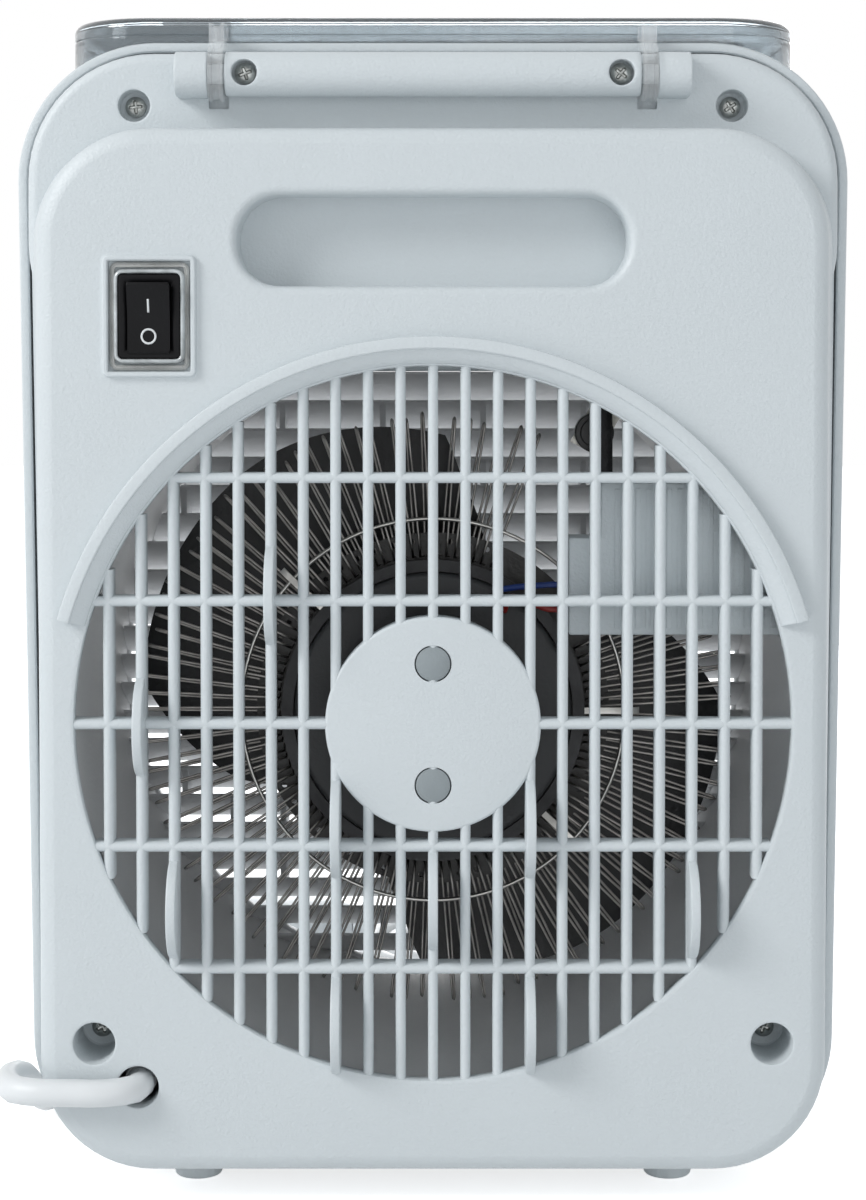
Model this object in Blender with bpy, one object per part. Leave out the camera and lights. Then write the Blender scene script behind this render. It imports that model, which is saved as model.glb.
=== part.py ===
"""Fan heater: a bathroom heater in two shells with a rear grille, a radial wire
element, a two-blade fan, a hinged smoked lid over its controls, and a cord.

Metres, +Z up. The rear with its grille looks along -Y and the warm air leaves
along +Y. The origin is on the floor under the middle of the heater. Depths are
measured forwards from the flat rear face, which stands at Y = REAR.
"""
import math

import bmesh
import bpy
from mathutils import Matrix, Vector

MM = 0.001

# Clearances
GAP = 0.3 * MM
RUNNING_GAP = 0.8 * MM

# Body: the width sets the grille, and the grille with the room under and over it sets the height
FOOT_HEIGHT = 6 * MM
BODY_WIDTH_BOTTOM = 204.6 * MM
PLATEAU_MARGIN = 4.5 * MM
PLATEAU_WIDTH = BODY_WIDTH_BOTTOM - 2 * PLATEAU_MARGIN
PLATEAU_BOTTOM_MARGIN = 2.9 * MM
PLATEAU_BOTTOM = FOOT_HEIGHT + PLATEAU_BOTTOM_MARGIN
GRILLE_MARGIN = 9.2 * MM
GRILLE_RADIUS = PLATEAU_WIDTH / 2 - GRILLE_MARGIN
GRILLE_FOOT_ROOM = 23.3 * MM
GRILLE_Z = PLATEAU_BOTTOM + GRILLE_FOOT_ROOM + GRILLE_RADIUS
GRILLE_HEAD_ROOM = 81.5 * MM
BODY_TOP = GRILLE_Z + GRILLE_RADIUS + GRILLE_HEAD_ROOM
PLATEAU_TOP_MARGIN = 22.9 * MM
PLATEAU_TOP = BODY_TOP - PLATEAU_TOP_MARGIN
BODY_FLARE = 5.4 * MM
BODY_WIDTH_TOP = BODY_WIDTH_BOTTOM + BODY_FLARE
BODY_DEPTH = 128 * MM
BODY_CORNER_TOP = 35 * MM
BODY_CORNER_BOTTOM = 32 * MM
FRONT_WALL = 2.4 * MM
FRONT_ROUND = 6 * MM
RIM_DEPTH = 20 * MM

# Rear shell
REAR_WALL = 2.5 * MM
LAP_GAP = 0.8 * MM
LAP_DEPTH = 34 * MM
PLATEAU_CORNER = 28 * MM
PLATEAU_ROUND = 4 * MM
LEDGE_DEPTH = 14 * MM
LEDGE_ROUND = 2.5 * MM
LEDGE_OVERLAP = 60 * MM
WELL_WALL = 1.6 * MM

# Rear grille
GRILLE_LIP = 2.4 * MM
GRILLE_RECESS = 0.3 * MM
GRILLE_THICKNESS = 6 * MM
BAR_WIDTH = 2.5 * MM
UPRIGHT_PITCH = 8.03 * MM
CROSSBAR_PITCH = 30.5 * MM
UPRIGHTS_A_SIDE = 10
CROSSBARS_A_SIDE = 2
HUB_RADIUS = 26.7 * MM
GRILLE_SIDES = 44

# Spacer fins on the grille: upright number, and height over the grille's centre
FIN_REACH = 9 * MM
FIN_LENGTH = 25 * MM
FIN_WIDTH = 2.3 * MM
FINS = [(-5, 32), (-9, -0.6), (-8, -46), (8, -46), (0, -44),
        (-3, -26), (3, -26), (-3, -75), (3, -75)]

# Hood over the grille
HOOD_WIDTH = 7.4 * MM
HOOD_RADIUS = GRILLE_RADIUS + HOOD_WIDTH
HOOD_CREST = 2.5 * MM
HOOD_REACH = 4 * MM
HOOD_END_ANGLE = 16

# Handle recess
HANDLE_END_MARGIN = 49.55 * MM
HANDLE_WIDTH = PLATEAU_WIDTH - 2 * HANDLE_END_MARGIN
HANDLE_HEIGHT = 22.4 * MM
HANDLE_DROP = 27.8 * MM
HANDLE_Z = PLATEAU_TOP - HANDLE_DROP
HANDLE_DEPTH = 24.5 * MM

# Lid and its hinge
HINGE_DROP = 9.2 * MM
HINGE_Z = BODY_TOP - HINGE_DROP
HINGE_BAR_LENGTH = 102.8 * MM
HINGE_BAR_RADIUS = 5.5 * MM
HINGE_PIN_RADIUS = 2.4 * MM
HINGE_ARM_WIDTH = 3.8 * MM
HINGE_ARM_RADIUS = 6.8 * MM
KNUCKLE_WIDTH = 8 * MM
HINGE_SCREW_INSET = 4.9 * MM
HINGE_SCREW_X = HINGE_BAR_LENGTH / 2 - HINGE_SCREW_INSET
LID_SIDE_MARGIN = 11.5 * MM
LID_WIDTH = BODY_WIDTH_TOP - 2 * LID_SIDE_MARGIN
LID_DEPTH = 79 * MM
LID_RISE = 6.7 * MM
LID_TOP = BODY_TOP + LID_RISE
LID_WALL = 2 * MM
LID_CORNER = 22 * MM
LID_ROUND = 2.5 * MM
LID_SKIRT = 18 * MM

# Screws
SCREW_SHANK = 1.4 * MM
SCREW_HEAD = 2.6 * MM
HEAD_HEIGHT = 1.8 * MM
SCREW_HOLD = 10 * MM
BOSS_RADIUS = 3.6 * MM
TOP_SCREW_MARGIN = 30.1 * MM
TOP_SCREW_DROP = 16.4 * MM
TOP_SCREW_X = BODY_WIDTH_TOP / 2 - TOP_SCREW_MARGIN
TOP_SCREW_Z = BODY_TOP - TOP_SCREW_DROP
TOP_WELL_RADIUS = 4 * MM
TOP_WELL_DEPTH = 5.5 * MM
LOW_SCREW_MARGIN = 13.7 * MM
LOW_SCREW_RISE = 32.4 * MM
LOW_SCREW_X = PLATEAU_WIDTH / 2 - LOW_SCREW_MARGIN
LOW_SCREW_Z = PLATEAU_BOTTOM + LOW_SCREW_RISE
LOW_WELL_RADIUS = 5.2 * MM
LOW_WELL_DEPTH = 17.5 * MM

# Rocker switch
SWITCH_MARGIN = 28.2 * MM
SWITCH_DROP = 46.4 * MM
SWITCH_X = SWITCH_MARGIN - PLATEAU_WIDTH / 2
SWITCH_Z = PLATEAU_TOP - SWITCH_DROP
SWITCH_FRAME = (23 * MM, 29.9 * MM)
SWITCH_FRAME_WALL = 1.4 * MM
SWITCH_FRAME_REACH = 1.4 * MM
BEZEL = (15.3 * MM, 20.7 * MM)
BEZEL_REACH = 1.6 * MM
ROCKER = (10.4 * MM, 17.6 * MM)
ROCKER_REACH = 3.4 * MM
ROCKER_TILT = 9
SWITCH_DEPTH = 20 * MM
SWITCH_WALL = 0.9 * MM
ROCKER_WELL = 7 * MM
SWITCH_SEAT = 0.8 * MM
BEZEL_LIP = 0.9 * MM

# Air duct and front grille
DUCT_MARGIN = 2 * MM
DUCT_RADIUS = GRILLE_RADIUS + DUCT_MARGIN
DUCT_WALL = 1.6 * MM
LOUVRE_PITCH = 8.15 * MM
LOUVRE_WIDTH = 2.2 * MM
LOUVRE_THICKNESS = 3 * MM
LOUVRES_A_SIDE = 10
LOUVRE_LINKS = (58 * MM, 72 * MM)

# Motor and fan
PLUG_RADIUS = 4.3 * MM
PLUG_THICKNESS = 1.4 * MM
MOTOR_SCREW_OFFSET = 15.1 * MM
MOTOR_POST_RADIUS = 4.5 * MM
MOTOR_COVER_RADIUS = 35.6 * MM
MOTOR_COVER_DEPTH = 23 * MM
MOTOR_COVER_WALL = 1.6 * MM
MOTOR_COVER_SKIRT = 8 * MM
MOTOR_RADIUS = 27 * MM
MOTOR_LENGTH = 20 * MM
SHAFT_RADIUS = 1.6 * MM
SHAFT_REACH = 20 * MM
FAN_DEPTH = 48 * MM
FAN_TIP_ROOM = 12.1 * MM
FAN_TIP_SWEEP = 13.5 * MM
FAN_RADIUS = DUCT_RADIUS - FAN_TIP_ROOM
FAN_TRAILING_RADIUS = FAN_RADIUS - FAN_TIP_SWEEP
FAN_PITCH = 15 * MM
FAN_HUB_RADIUS = 12 * MM
FAN_HUB_LENGTH = 12 * MM
BLADE_THICKNESS = 1.6 * MM
BLADES = 2

# Heating element
ELEMENT_DEPTH = 28 * MM
ELEMENT_MOTOR_ROOM = 3.2 * MM
ELEMENT_INNER = MOTOR_COVER_RADIUS + ELEMENT_MOTOR_ROOM
ELEMENT_TIP_ROOM = 13.1 * MM
ELEMENT_OUTER = DUCT_RADIUS - ELEMENT_TIP_ROOM
ELEMENT_WIRE = 0.7 * MM
ELEMENT_LOOPS = 24
ELEMENT_LEG_SPACING = 4.4 * MM
ELEMENT_START = 68
ELEMENT_SWEEP = 318
MICA_OUTER = 45.5 * MM
MICA_THICKNESS = 1.2 * MM
WIRE_RING_RADIUS = 49.3 * MM
WIRE_RING_THICK = 0.8 * MM
STRIP_WIDTH = 3 * MM
STRIP_THICKNESS = 0.8 * MM
STRIP_REACH = 53 * MM
STRIP_ANGLES = (0, 90, 137, 317)
CUTOUT_ANGLE = 60
CUTOUT_RADIUS = 5 * MM

# Control box behind the grille
BOX_MARGIN = 5.8 * MM
BOX_WIDTH = 58 * MM
BOX_STEP_WIDTH = 8 * MM
BOX_TOP_ROOM = 31.2 * MM
BOX_STEP_RISE = 24.4 * MM
BOX_HEIGHT = 38.3 * MM
BOX_RIGHT = PLATEAU_WIDTH / 2 - BOX_MARGIN
BOX_LEFT = BOX_RIGHT - BOX_WIDTH
BOX_STEP = BOX_LEFT + BOX_STEP_WIDTH
BOX_HIGH = GRILLE_Z + DUCT_RADIUS - BOX_TOP_ROOM
BOX_LOW = BOX_HIGH - BOX_HEIGHT
BOX_STEP_Z = BOX_LOW + BOX_STEP_RISE
BOX_NEAR = 10 * MM
BOX_DEPTH = 14 * MM

# Controls under the lid
DECK_WIDTH = 136 * MM
DECK_DEPTH = 56 * MM
DECK_SINK = 5.4 * MM
DECK_WALL = 1.6 * MM
DECK_LEDGE = 3 * MM
KNOB_SPACING = 64 * MM
KNOB_RADIUS = 13 * MM
KNOB_HEIGHT = 7.4 * MM
KNOB_SHAFT_RADIUS = 3 * MM
CONTROL_BODY = (26 * MM, 22 * MM, 20 * MM)
LENS_RADIUS = 3 * MM
LENS_SETBACK = 18 * MM
KNOB_GRIP = 6 * MM
KNOB_SHAFT_LENGTH = 8 * MM

# Wiring
SLEEVE_BOX_MARGIN = 38 * MM
SLEEVE_X = BOX_RIGHT - SLEEVE_BOX_MARGIN
SLEEVE_RADIUS = 2.4 * MM
WIRE_RADIUS = 0.8 * MM

# Feet
FOOT_SIDE_MARGIN = 41.5 * MM
FOOT_X = BODY_WIDTH_BOTTOM / 2 - FOOT_SIDE_MARGIN
FOOT_RADIUS = 6.5 * MM
FOOT_SETBACK = 28 * MM
FRONT_FOOT_SETBACK = 20 * MM
FOOT_PEG_RADIUS = 2.2 * MM

# Cord, its coil and the plug
CORD_RADIUS = 3.45 * MM
CORD_SIDE_MARGIN = 24.5 * MM
CORD_RISE = 21.5 * MM
CORD_X = CORD_SIDE_MARGIN - PLATEAU_WIDTH / 2
CORD_Z = PLATEAU_BOTTOM + CORD_RISE
CORD_HOLE = 5.2 * MM
GLAND_DEPTH = 11 * MM
GLAND_LENGTH = 11 * MM
COIL_RADIUS = 38 * MM
COIL_TURNS_A_LAYER = 2.5
COIL_PITCH = 8.6 * MM
COIL_CENTRE = (20 * MM, 165 * MM)
TAIL_LENGTH = 42 * MM
PLUG_LENGTH = 40 * MM
PLUG_WIDTH = 36 * MM
PLUG_HEIGHT = 19 * MM
PIN_RADIUS = 2.4 * MM
PIN_LENGTH = 19 * MM
PIN_SPACING = 19 * MM

# Places worked out from the sizes
REAR = -(BODY_DEPTH - FIN_REACH) / 2
FRONT = REAR + BODY_DEPTH
HINGE_Y = REAR + LEDGE_DEPTH - GAP - HINGE_BAR_RADIUS
BODY_BOTTOM = FOOT_HEIGHT
GRILLE_BACK = REAR + GRILLE_RECESS + GRILLE_THICKNESS
LOUVRE_FRONT = FRONT - FRONT_WALL - GAP
DUCT_FRONT = LOUVRE_FRONT - LOUVRE_THICKNESS - GAP
LID_REAR = REAR + RIM_DEPTH + 1 * MM
DECK_Y = LID_REAR + LID_DEPTH / 2
LENS_Y = DECK_Y - LENS_SETBACK
CONTROL_BODY_TOP = BODY_TOP - DECK_SINK - DECK_WALL - GAP
ROCKER_Y = REAR - 0.4 * MM
MOTOR_NEAR = REAR + MOTOR_COVER_DEPTH + MOTOR_COVER_WALL + GAP
MOTOR_FAR = MOTOR_NEAR + MOTOR_LENGTH

PARTS = "Fan heater"
TOOLS = "Cutting and joining shapes"


# Scene

def clear_scene():
    for item in list(bpy.data.objects):
        bpy.data.objects.remove(item, do_unlink=True)
    for name in (PARTS, TOOLS):
        bpy.context.scene.collection.children.link(bpy.data.collections.new(name))


def material(name, colour, roughness, metallic=0.0, alpha=1.0):
    """A Principled material of the finish, a new one for each piece."""
    made = bpy.data.materials.new(name)
    made.use_nodes = True
    shader = made.node_tree.nodes["Principled BSDF"]
    shader.inputs["Base Color"].default_value = (*colour, 1.0)
    shader.inputs["Roughness"].default_value = roughness
    shader.inputs["Metallic"].default_value = metallic
    shader.inputs["Alpha"].default_value = alpha
    made.diffuse_color = (*colour, alpha)
    return made


def white_plastic():
    return material("white moulded plastic", (0.72, 0.75, 0.76), 0.5)


def grey_plastic():
    return material("grey moulded plastic", (0.22, 0.22, 0.22), 0.6)


def black_plastic():
    return material("black plastic", (0.012, 0.012, 0.013), 0.35)


def steel():
    return material("bright steel", (0.6, 0.6, 0.58), 0.3, 1.0)


def mica():
    return material("dark mica board", (0.03, 0.028, 0.026), 0.7)


def heating_alloy():
    return material("heating wire", (0.35, 0.32, 0.3), 0.4, 1.0)


def rubber():
    return material("grey rubber", (0.35, 0.36, 0.37), 0.8)


def smoked_clear():
    return material("smoked clear plastic", (0.35, 0.38, 0.42), 0.1, 0.0, 0.6)


def clear_plastic():
    return material("clear plastic", (0.8, 0.82, 0.83), 0.1, 0.0, 0.4)


def white_cord():
    return material("white cord", (0.75, 0.78, 0.8), 0.45)


def place(item, collection, finish=None):
    bpy.data.collections[collection].objects.link(item)
    if finish is not None:
        item.data.materials.append(finish)
    if collection == TOOLS:
        item.hide_render = True
        item.display_type = "WIRE"
    return item


def made_from(name, mesh_maker, collection=PARTS, finish=None, location=(0, 0, 0)):
    """An object from a function that fills a bmesh in the object's own place."""
    shape = bmesh.new()
    mesh_maker(shape)
    bmesh.ops.recalc_face_normals(shape, faces=shape.faces)
    if shape.calc_volume(signed=True) < 0:
        bmesh.ops.reverse_faces(shape, faces=shape.faces)
    mesh = bpy.data.meshes.new(name)
    shape.to_mesh(mesh)
    shape.free()
    item = bpy.data.objects.new(name, mesh)
    item.location = location
    return place(item, collection, finish)


def piece(name, mesh_maker, finish, location=(0, 0, 0)):
    return made_from(name, mesh_maker, PARTS, finish, location)


def set_origin(item, point):
    """Move an object's origin to a point on its joint's axis."""
    item.data.transform(Matrix.Translation(-Vector(point)))
    item.location = point


def tool(name, mesh_maker, location=(0, 0, 0)):
    return made_from(name, mesh_maker, TOOLS, None, location)


def combine(item, other, operation):
    change = item.modifiers.new(other.name, "BOOLEAN")
    change.operation = operation
    change.object = other


def cut(item, *others):
    for other in others:
        combine(item, other, "DIFFERENCE")


def join(item, *others):
    for other in others:
        combine(item, other, "UNION")


# Basic shapes

def box(shape, low, high):
    size = Vector(high) - Vector(low)
    centre = (Vector(high) + Vector(low)) / 2
    matrix = Matrix.Translation(centre) @ Matrix.Diagonal((*size, 1.0))
    bmesh.ops.create_cube(shape, size=1.0, matrix=matrix)


TURNS = {
    "X": Matrix.Rotation(math.pi / 2, 4, "Y"),
    "Y": Matrix.Rotation(-math.pi / 2, 4, "X"),
    "Z": Matrix.Identity(4),
}


def rod(shape, axis, start, length, radius, end_radius=None, sides=16):
    """A round bar that runs from its start along +X, +Y or +Z."""
    direction = Vector([axis == name for name in "XYZ"])
    centre = Vector(start) + direction * length / 2
    matrix = Matrix.Translation(centre) @ TURNS[axis]
    bmesh.ops.create_cone(
        shape, cap_ends=True, segments=sides, radius1=radius,
        radius2=radius if end_radius is None else end_radius,
        depth=length, matrix=matrix)


def loft(shape, rings, closed=False):
    """A solid through rings of points: capped at its ends, or closed on itself."""
    rows = [[shape.verts.new(point) for point in ring] for ring in rings]
    pairs = list(zip(rows, rows[1:]))
    if closed:
        pairs.append((rows[-1], rows[0]))
    for one, two in pairs:
        for index in range(len(one)):
            after = (index + 1) % len(one)
            shape.faces.new((one[index], one[after], two[after], two[index]))
    if not closed:
        shape.faces.new(rows[0])
        shape.faces.new(rows[-1])


def turned_about_y(shape, profile, centre, sides=32):
    """A ring about an axis along Y, from a closed profile of radius and Y."""
    rings = []
    for index in range(sides):
        angle = 2 * math.pi * index / sides
        rings.append([(centre[0] + radius * math.cos(angle), y,
                       centre[1] + radius * math.sin(angle)) for radius, y in profile])
    loft(shape, rings, closed=True)


def tube(name, points, radius, finish, resolution=2, closed=False, collection=PARTS):
    """A round wire or cord through its points."""
    data = bpy.data.curves.new(name, "CURVE")
    data.dimensions = "3D"
    data.bevel_depth = radius
    data.bevel_resolution = resolution
    data.use_fill_caps = not closed
    line = data.splines.new("POLY")
    line.points.add(len(points) - 1)
    for node, point in zip(line.points, points):
        node.co = (*point, 1.0)
    line.use_cyclic_u = closed
    return place(bpy.data.objects.new(name, data), collection, finish)


def rounded(width, low, high, corner_low, corner_high, width_low=None, steps=5):
    """X and Z of a rounded outline, wide at the top and as wide or narrower below."""
    half = width / 2
    half_low = half if width_low is None else width_low / 2
    corners = [
        (half_low - corner_low, low + corner_low, corner_low, -90),
        (half - corner_high, high - corner_high, corner_high, 0),
        (corner_high - half, high - corner_high, corner_high, 90),
        (corner_low - half_low, low + corner_low, corner_low, 180),
    ]
    points = []
    for x, z, radius, start in corners:
        for step in range(steps + 1):
            angle = math.radians(start + 90 * step / steps)
            points.append((x + radius * math.cos(angle), z + radius * math.sin(angle)))
    return points


def upright(points, y):
    return [(x, y, z) for x, z in points]


def quarter_round(radius, steps=3):
    """Inset and depth of the steps of a rounded edge, from its face to its side."""
    for step in range(steps + 1):
        angle = math.radians(90 * step / steps)
        yield radius * (1 - math.sin(angle)), radius * (1 - math.cos(angle))


# Rear shell

def plateau_rings(inset, start):
    """The raised rear panel with its rounded edge, from the face to the lap."""
    def ring(grow, y, drop=0.0):
        return upright(rounded(
            PLATEAU_WIDTH + 2 * grow, PLATEAU_BOTTOM - grow + drop, PLATEAU_TOP + min(grow, 0),
            PLATEAU_CORNER, PLATEAU_CORNER), y)

    rings = [ring(-inset - back, REAR + start + depth)
             for back, depth in quarter_round(PLATEAU_ROUND)]
    lap = (BODY_WIDTH_BOTTOM - PLATEAU_WIDTH) / 2 - FRONT_WALL - LAP_GAP
    lap_drop = BODY_BOTTOM + FRONT_WALL + LAP_GAP - PLATEAU_BOTTOM + lap
    rings.append(ring(lap - inset, REAR + RIM_DEPTH, lap_drop))
    rings.append(ring(lap - inset, REAR + LAP_DEPTH + start, lap_drop))
    return rings


def ledge_rings(inset, start):
    """The lower level over the panel, up to the top of the body."""
    margin = FRONT_WALL + LAP_GAP
    top = BODY_TOP - margin
    width = BODY_WIDTH_TOP - 2 * margin
    corner = BODY_CORNER_TOP - margin

    def ring(grow, y):
        return upright(rounded(
            width + 2 * grow, PLATEAU_TOP - LEDGE_OVERLAP - grow, top + grow,
            corner, corner + grow), y)

    rings = [ring(-inset - back, REAR + LEDGE_DEPTH + start + depth)
             for back, depth in quarter_round(LEDGE_ROUND, 2)]
    rings.append(ring(-inset, REAR + LAP_DEPTH + start))
    return rings


def slot_outline(width, height, y):
    half = height / 2
    return upright(rounded(width, HANDLE_Z - half, HANDLE_Z + half, half * 0.95, half * 0.95,
                           steps=4), y)


def grille_cells(shape):
    """The gaps between the grille's bars."""
    half = BAR_WIDTH / 2
    sides = [(step - 0.5) * UPRIGHT_PITCH for step in range(-UPRIGHTS_A_SIDE, UPRIGHTS_A_SIDE + 2)]
    reach = GRILLE_RADIUS + 2 * MM
    rows = [GRILLE_Z + step * CROSSBAR_PITCH
            for step in range(-CROSSBARS_A_SIDE, CROSSBARS_A_SIDE + 1)]
    lows = [GRILLE_Z - reach] + [z + half for z in rows]
    highs = [z - half for z in rows] + [GRILLE_Z + reach]
    for x in sides:
        for low, high in zip(lows, highs):
            box(shape, (x - UPRIGHT_PITCH / 2 + half, REAR - 2 * MM, low),
                (x + UPRIGHT_PITCH / 2 - half, GRILLE_BACK + 2 * MM, high))


def hood_rings():
    inner = GRILLE_RADIUS + 0.6 * MM
    crest = REAR - HOOD_REACH
    profile = [(inner, REAR + 1.2 * MM), (inner, REAR - 0.3 * MM),
               (HOOD_RADIUS - HOOD_CREST, crest), (HOOD_RADIUS - 0.6 * MM, crest),
               (HOOD_RADIUS, crest + 0.6 * MM), (HOOD_RADIUS, REAR + 1.2 * MM)]
    rings = []
    steps = 16
    for step in range(steps + 1):
        angle = math.radians(HOOD_END_ANGLE + (180 - 2 * HOOD_END_ANGLE) * step / steps)
        rings.append([(r * math.cos(angle), y, GRILLE_Z + r * math.sin(angle))
                      for r, y in profile])
    return rings


def fin_rings(x, z):
    """A half-round crescent plate that stands off a bar of the grille."""
    root = GRILLE_RECESS + 2 * MM
    half = FIN_LENGTH / 2
    reach = FIN_REACH + root
    radius = (half * half + reach * reach) / (2 * reach)
    spread = math.asin(min(1.0, half / radius))
    if reach > radius:
        spread = math.pi - spread
    steps = 6
    side = []
    for step in range(steps + 1):
        angle = spread * (2 * step / steps - 1)
        side.append((REAR + root - reach + radius * (1 - math.cos(angle)),
                     z + radius * math.sin(angle)))
    return [[(edge, y, height) for y, height in side]
            for edge in (x - FIN_WIDTH / 2, x + FIN_WIDTH / 2)]


def rear_bosses(shape):
    """Walls round the wells, the cord hole and the hinge screws, inside the shell."""
    inside = REAR + REAR_WALL / 2
    ledge_inside = REAR + LEDGE_DEPTH + REAR_WALL / 2
    for side in (-1, 1):
        rod(shape, "Y", (side * LOW_SCREW_X, inside, LOW_SCREW_Z),
            LOW_WELL_DEPTH + REAR_WALL / 2, LOW_WELL_RADIUS + WELL_WALL)
        rod(shape, "Y", (side * TOP_SCREW_X, ledge_inside, TOP_SCREW_Z),
            TOP_WELL_DEPTH + REAR_WALL / 2, TOP_WELL_RADIUS + WELL_WALL)
        rod(shape, "Y", (side * HINGE_SCREW_X, ledge_inside, HINGE_Z),
            SCREW_HOLD, BOSS_RADIUS, sides=16)
    rod(shape, "Y", (CORD_X, inside, CORD_Z),
        GLAND_DEPTH + GLAND_LENGTH - REAR_WALL / 2, CORD_HOLE + WELL_WALL)
    for z in (BOX_LOW + 7 * MM, BOX_HIGH - 7 * MM):
        rod(shape, "Y", (BOX_RIGHT - 3.5 * MM, inside, z),
            BOX_NEAR - GAP - REAR_WALL / 2, 3 * MM, sides=12)


def rear_holes(shape):
    """Wells with a screw hole in each, and the holes of the hinge screws."""
    before = REAR - 1 * MM
    for side in (-1, 1):
        rod(shape, "Y", (side * LOW_SCREW_X, before, LOW_SCREW_Z),
            LOW_WELL_DEPTH + 1 * MM, LOW_WELL_RADIUS)
        rod(shape, "Y", (side * TOP_SCREW_X, before, TOP_SCREW_Z),
            LEDGE_DEPTH + TOP_WELL_DEPTH + 1 * MM, TOP_WELL_RADIUS)
        rod(shape, "Y", (side * HINGE_SCREW_X, before, HINGE_Z),
            LEDGE_DEPTH + SCREW_HOLD + 1 * MM, SCREW_SHANK + GAP, sides=12)
    rod(shape, "Y", (CORD_X, before, CORD_Z),
        GLAND_DEPTH + GLAND_LENGTH + 3 * MM, CORD_HOLE)


def screw_holes(shape):
    for side in (-1, 1):
        rod(shape, "Y", (side * LOW_SCREW_X, REAR + LOW_WELL_DEPTH - 1 * MM, LOW_SCREW_Z),
            4 * MM, SCREW_SHANK + GAP, sides=12)
        rod(shape, "Y", (side * TOP_SCREW_X, REAR + LEDGE_DEPTH + TOP_WELL_DEPTH - 1 * MM,
                         TOP_SCREW_Z),
            4 * MM, SCREW_SHANK + GAP, sides=12)


def knuckles(shape):
    """Rounded blocks on the ledge that take the ends of the hinge bar's pins."""
    start = HINGE_BAR_LENGTH / 2 + HINGE_ARM_WIDTH + 2 * GAP
    for side in (-1, 1):
        low = start if side > 0 else -start - KNUCKLE_WIDTH
        profile = [(HINGE_Y + HINGE_BAR_RADIUS * math.cos(math.radians(angle)),
                    HINGE_Z + HINGE_BAR_RADIUS * math.sin(math.radians(angle)))
                   for angle in range(90, 271, 15)]
        back = REAR + LEDGE_DEPTH + REAR_WALL / 2
        profile = profile + [(back, HINGE_Z - HINGE_BAR_RADIUS), (back, HINGE_Z + HINGE_BAR_RADIUS)]
        loft(shape, [[(x, y, z) for y, z in profile] for x in (low, low + KNUCKLE_WIDTH)])


def hinge_cuts(shape):
    """Bores for the hinge pins, and a slot in the ledge behind each hinge arm."""
    start = HINGE_BAR_LENGTH / 2
    arm_room = HINGE_ARM_WIDTH + 4 * GAP
    for side in (-1, 1):
        low = start if side > 0 else -start - HINGE_ARM_WIDTH - KNUCKLE_WIDTH + 1 * MM
        rod(shape, "X", (low, HINGE_Y, HINGE_Z), HINGE_ARM_WIDTH + KNUCKLE_WIDTH - 1 * MM,
            HINGE_PIN_RADIUS + GAP, sides=16)
        near = start - GAP if side > 0 else -start + GAP - arm_room
        reach = HINGE_ARM_RADIUS + RUNNING_GAP
        box(shape, (near, REAR + LEDGE_DEPTH - 1 * MM, HINGE_Z - reach),
            (near + arm_room, HINGE_Y + reach, BODY_TOP))


def switch_seat(shape):
    half_x, half_z = SWITCH_FRAME[0] / 2, SWITCH_FRAME[1] / 2
    box(shape, (SWITCH_X - half_x, REAR - SWITCH_FRAME_REACH, SWITCH_Z - half_z),
        (SWITCH_X + half_x, REAR + REAR_WALL / 2, SWITCH_Z + half_z))


def switch_recess(shape):
    half_x = SWITCH_FRAME[0] / 2 - SWITCH_FRAME_WALL
    half_z = SWITCH_FRAME[1] / 2 - SWITCH_FRAME_WALL
    box(shape, (SWITCH_X - half_x, REAR - 3 * MM, SWITCH_Z - half_z),
        (SWITCH_X + half_x, REAR + SWITCH_SEAT, SWITCH_Z + half_z))


def switch_hole(shape):
    half_x, half_z = BEZEL[0] / 2 - BEZEL_LIP, BEZEL[1] / 2 - BEZEL_LIP
    box(shape, (SWITCH_X - half_x, REAR - 1 * MM, SWITCH_Z - half_z),
        (SWITCH_X + half_x, REAR + REAR_WALL + 1 * MM, SWITCH_Z + half_z))


def plug_holes(shape):
    """Counterbores in the grille's hub for the motor screws and their plugs."""
    depth = PLUG_THICKNESS + HEAD_HEIGHT + 3 * GAP
    for side in (-1, 1):
        z = GRILLE_Z + side * MOTOR_SCREW_OFFSET
        rod(shape, "Y", (0, REAR - 1 * MM, z), 1 * MM + GRILLE_RECESS + depth, PLUG_RADIUS + GAP)


def motor_screw_holes(shape):
    for side in (-1, 1):
        z = GRILLE_Z + side * MOTOR_SCREW_OFFSET
        rod(shape, "Y", (0, REAR + 2 * MM, z), GRILLE_THICKNESS, SCREW_SHANK + GAP, sides=12)


def make_rear_grille():
    """The flat grille: a disc with a gap between each pair of bars."""
    grille = tool("grille disc", lambda shape: rod(
        shape, "Y", (0, REAR + GRILLE_RECESS, GRILLE_Z), GRILLE_THICKNESS,
        GRILLE_RADIUS + GRILLE_LIP, sides=GRILLE_SIDES))
    ring = tool("grille opening", lambda shape: turned_about_y(
        shape, [(GRILLE_RADIUS - 0.6 * MM, REAR - 1 * MM), (GRILLE_RADIUS - 0.6 * MM, GRILLE_BACK + 1 * MM),
                (HUB_RADIUS, GRILLE_BACK + 1 * MM), (HUB_RADIUS, REAR - 1 * MM)],
        (0, GRILLE_Z), sides=GRILLE_SIDES))
    cells = tool("grille cells", grille_cells)
    combine(cells, ring, "INTERSECT")
    cut(grille, cells)
    return grille


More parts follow.
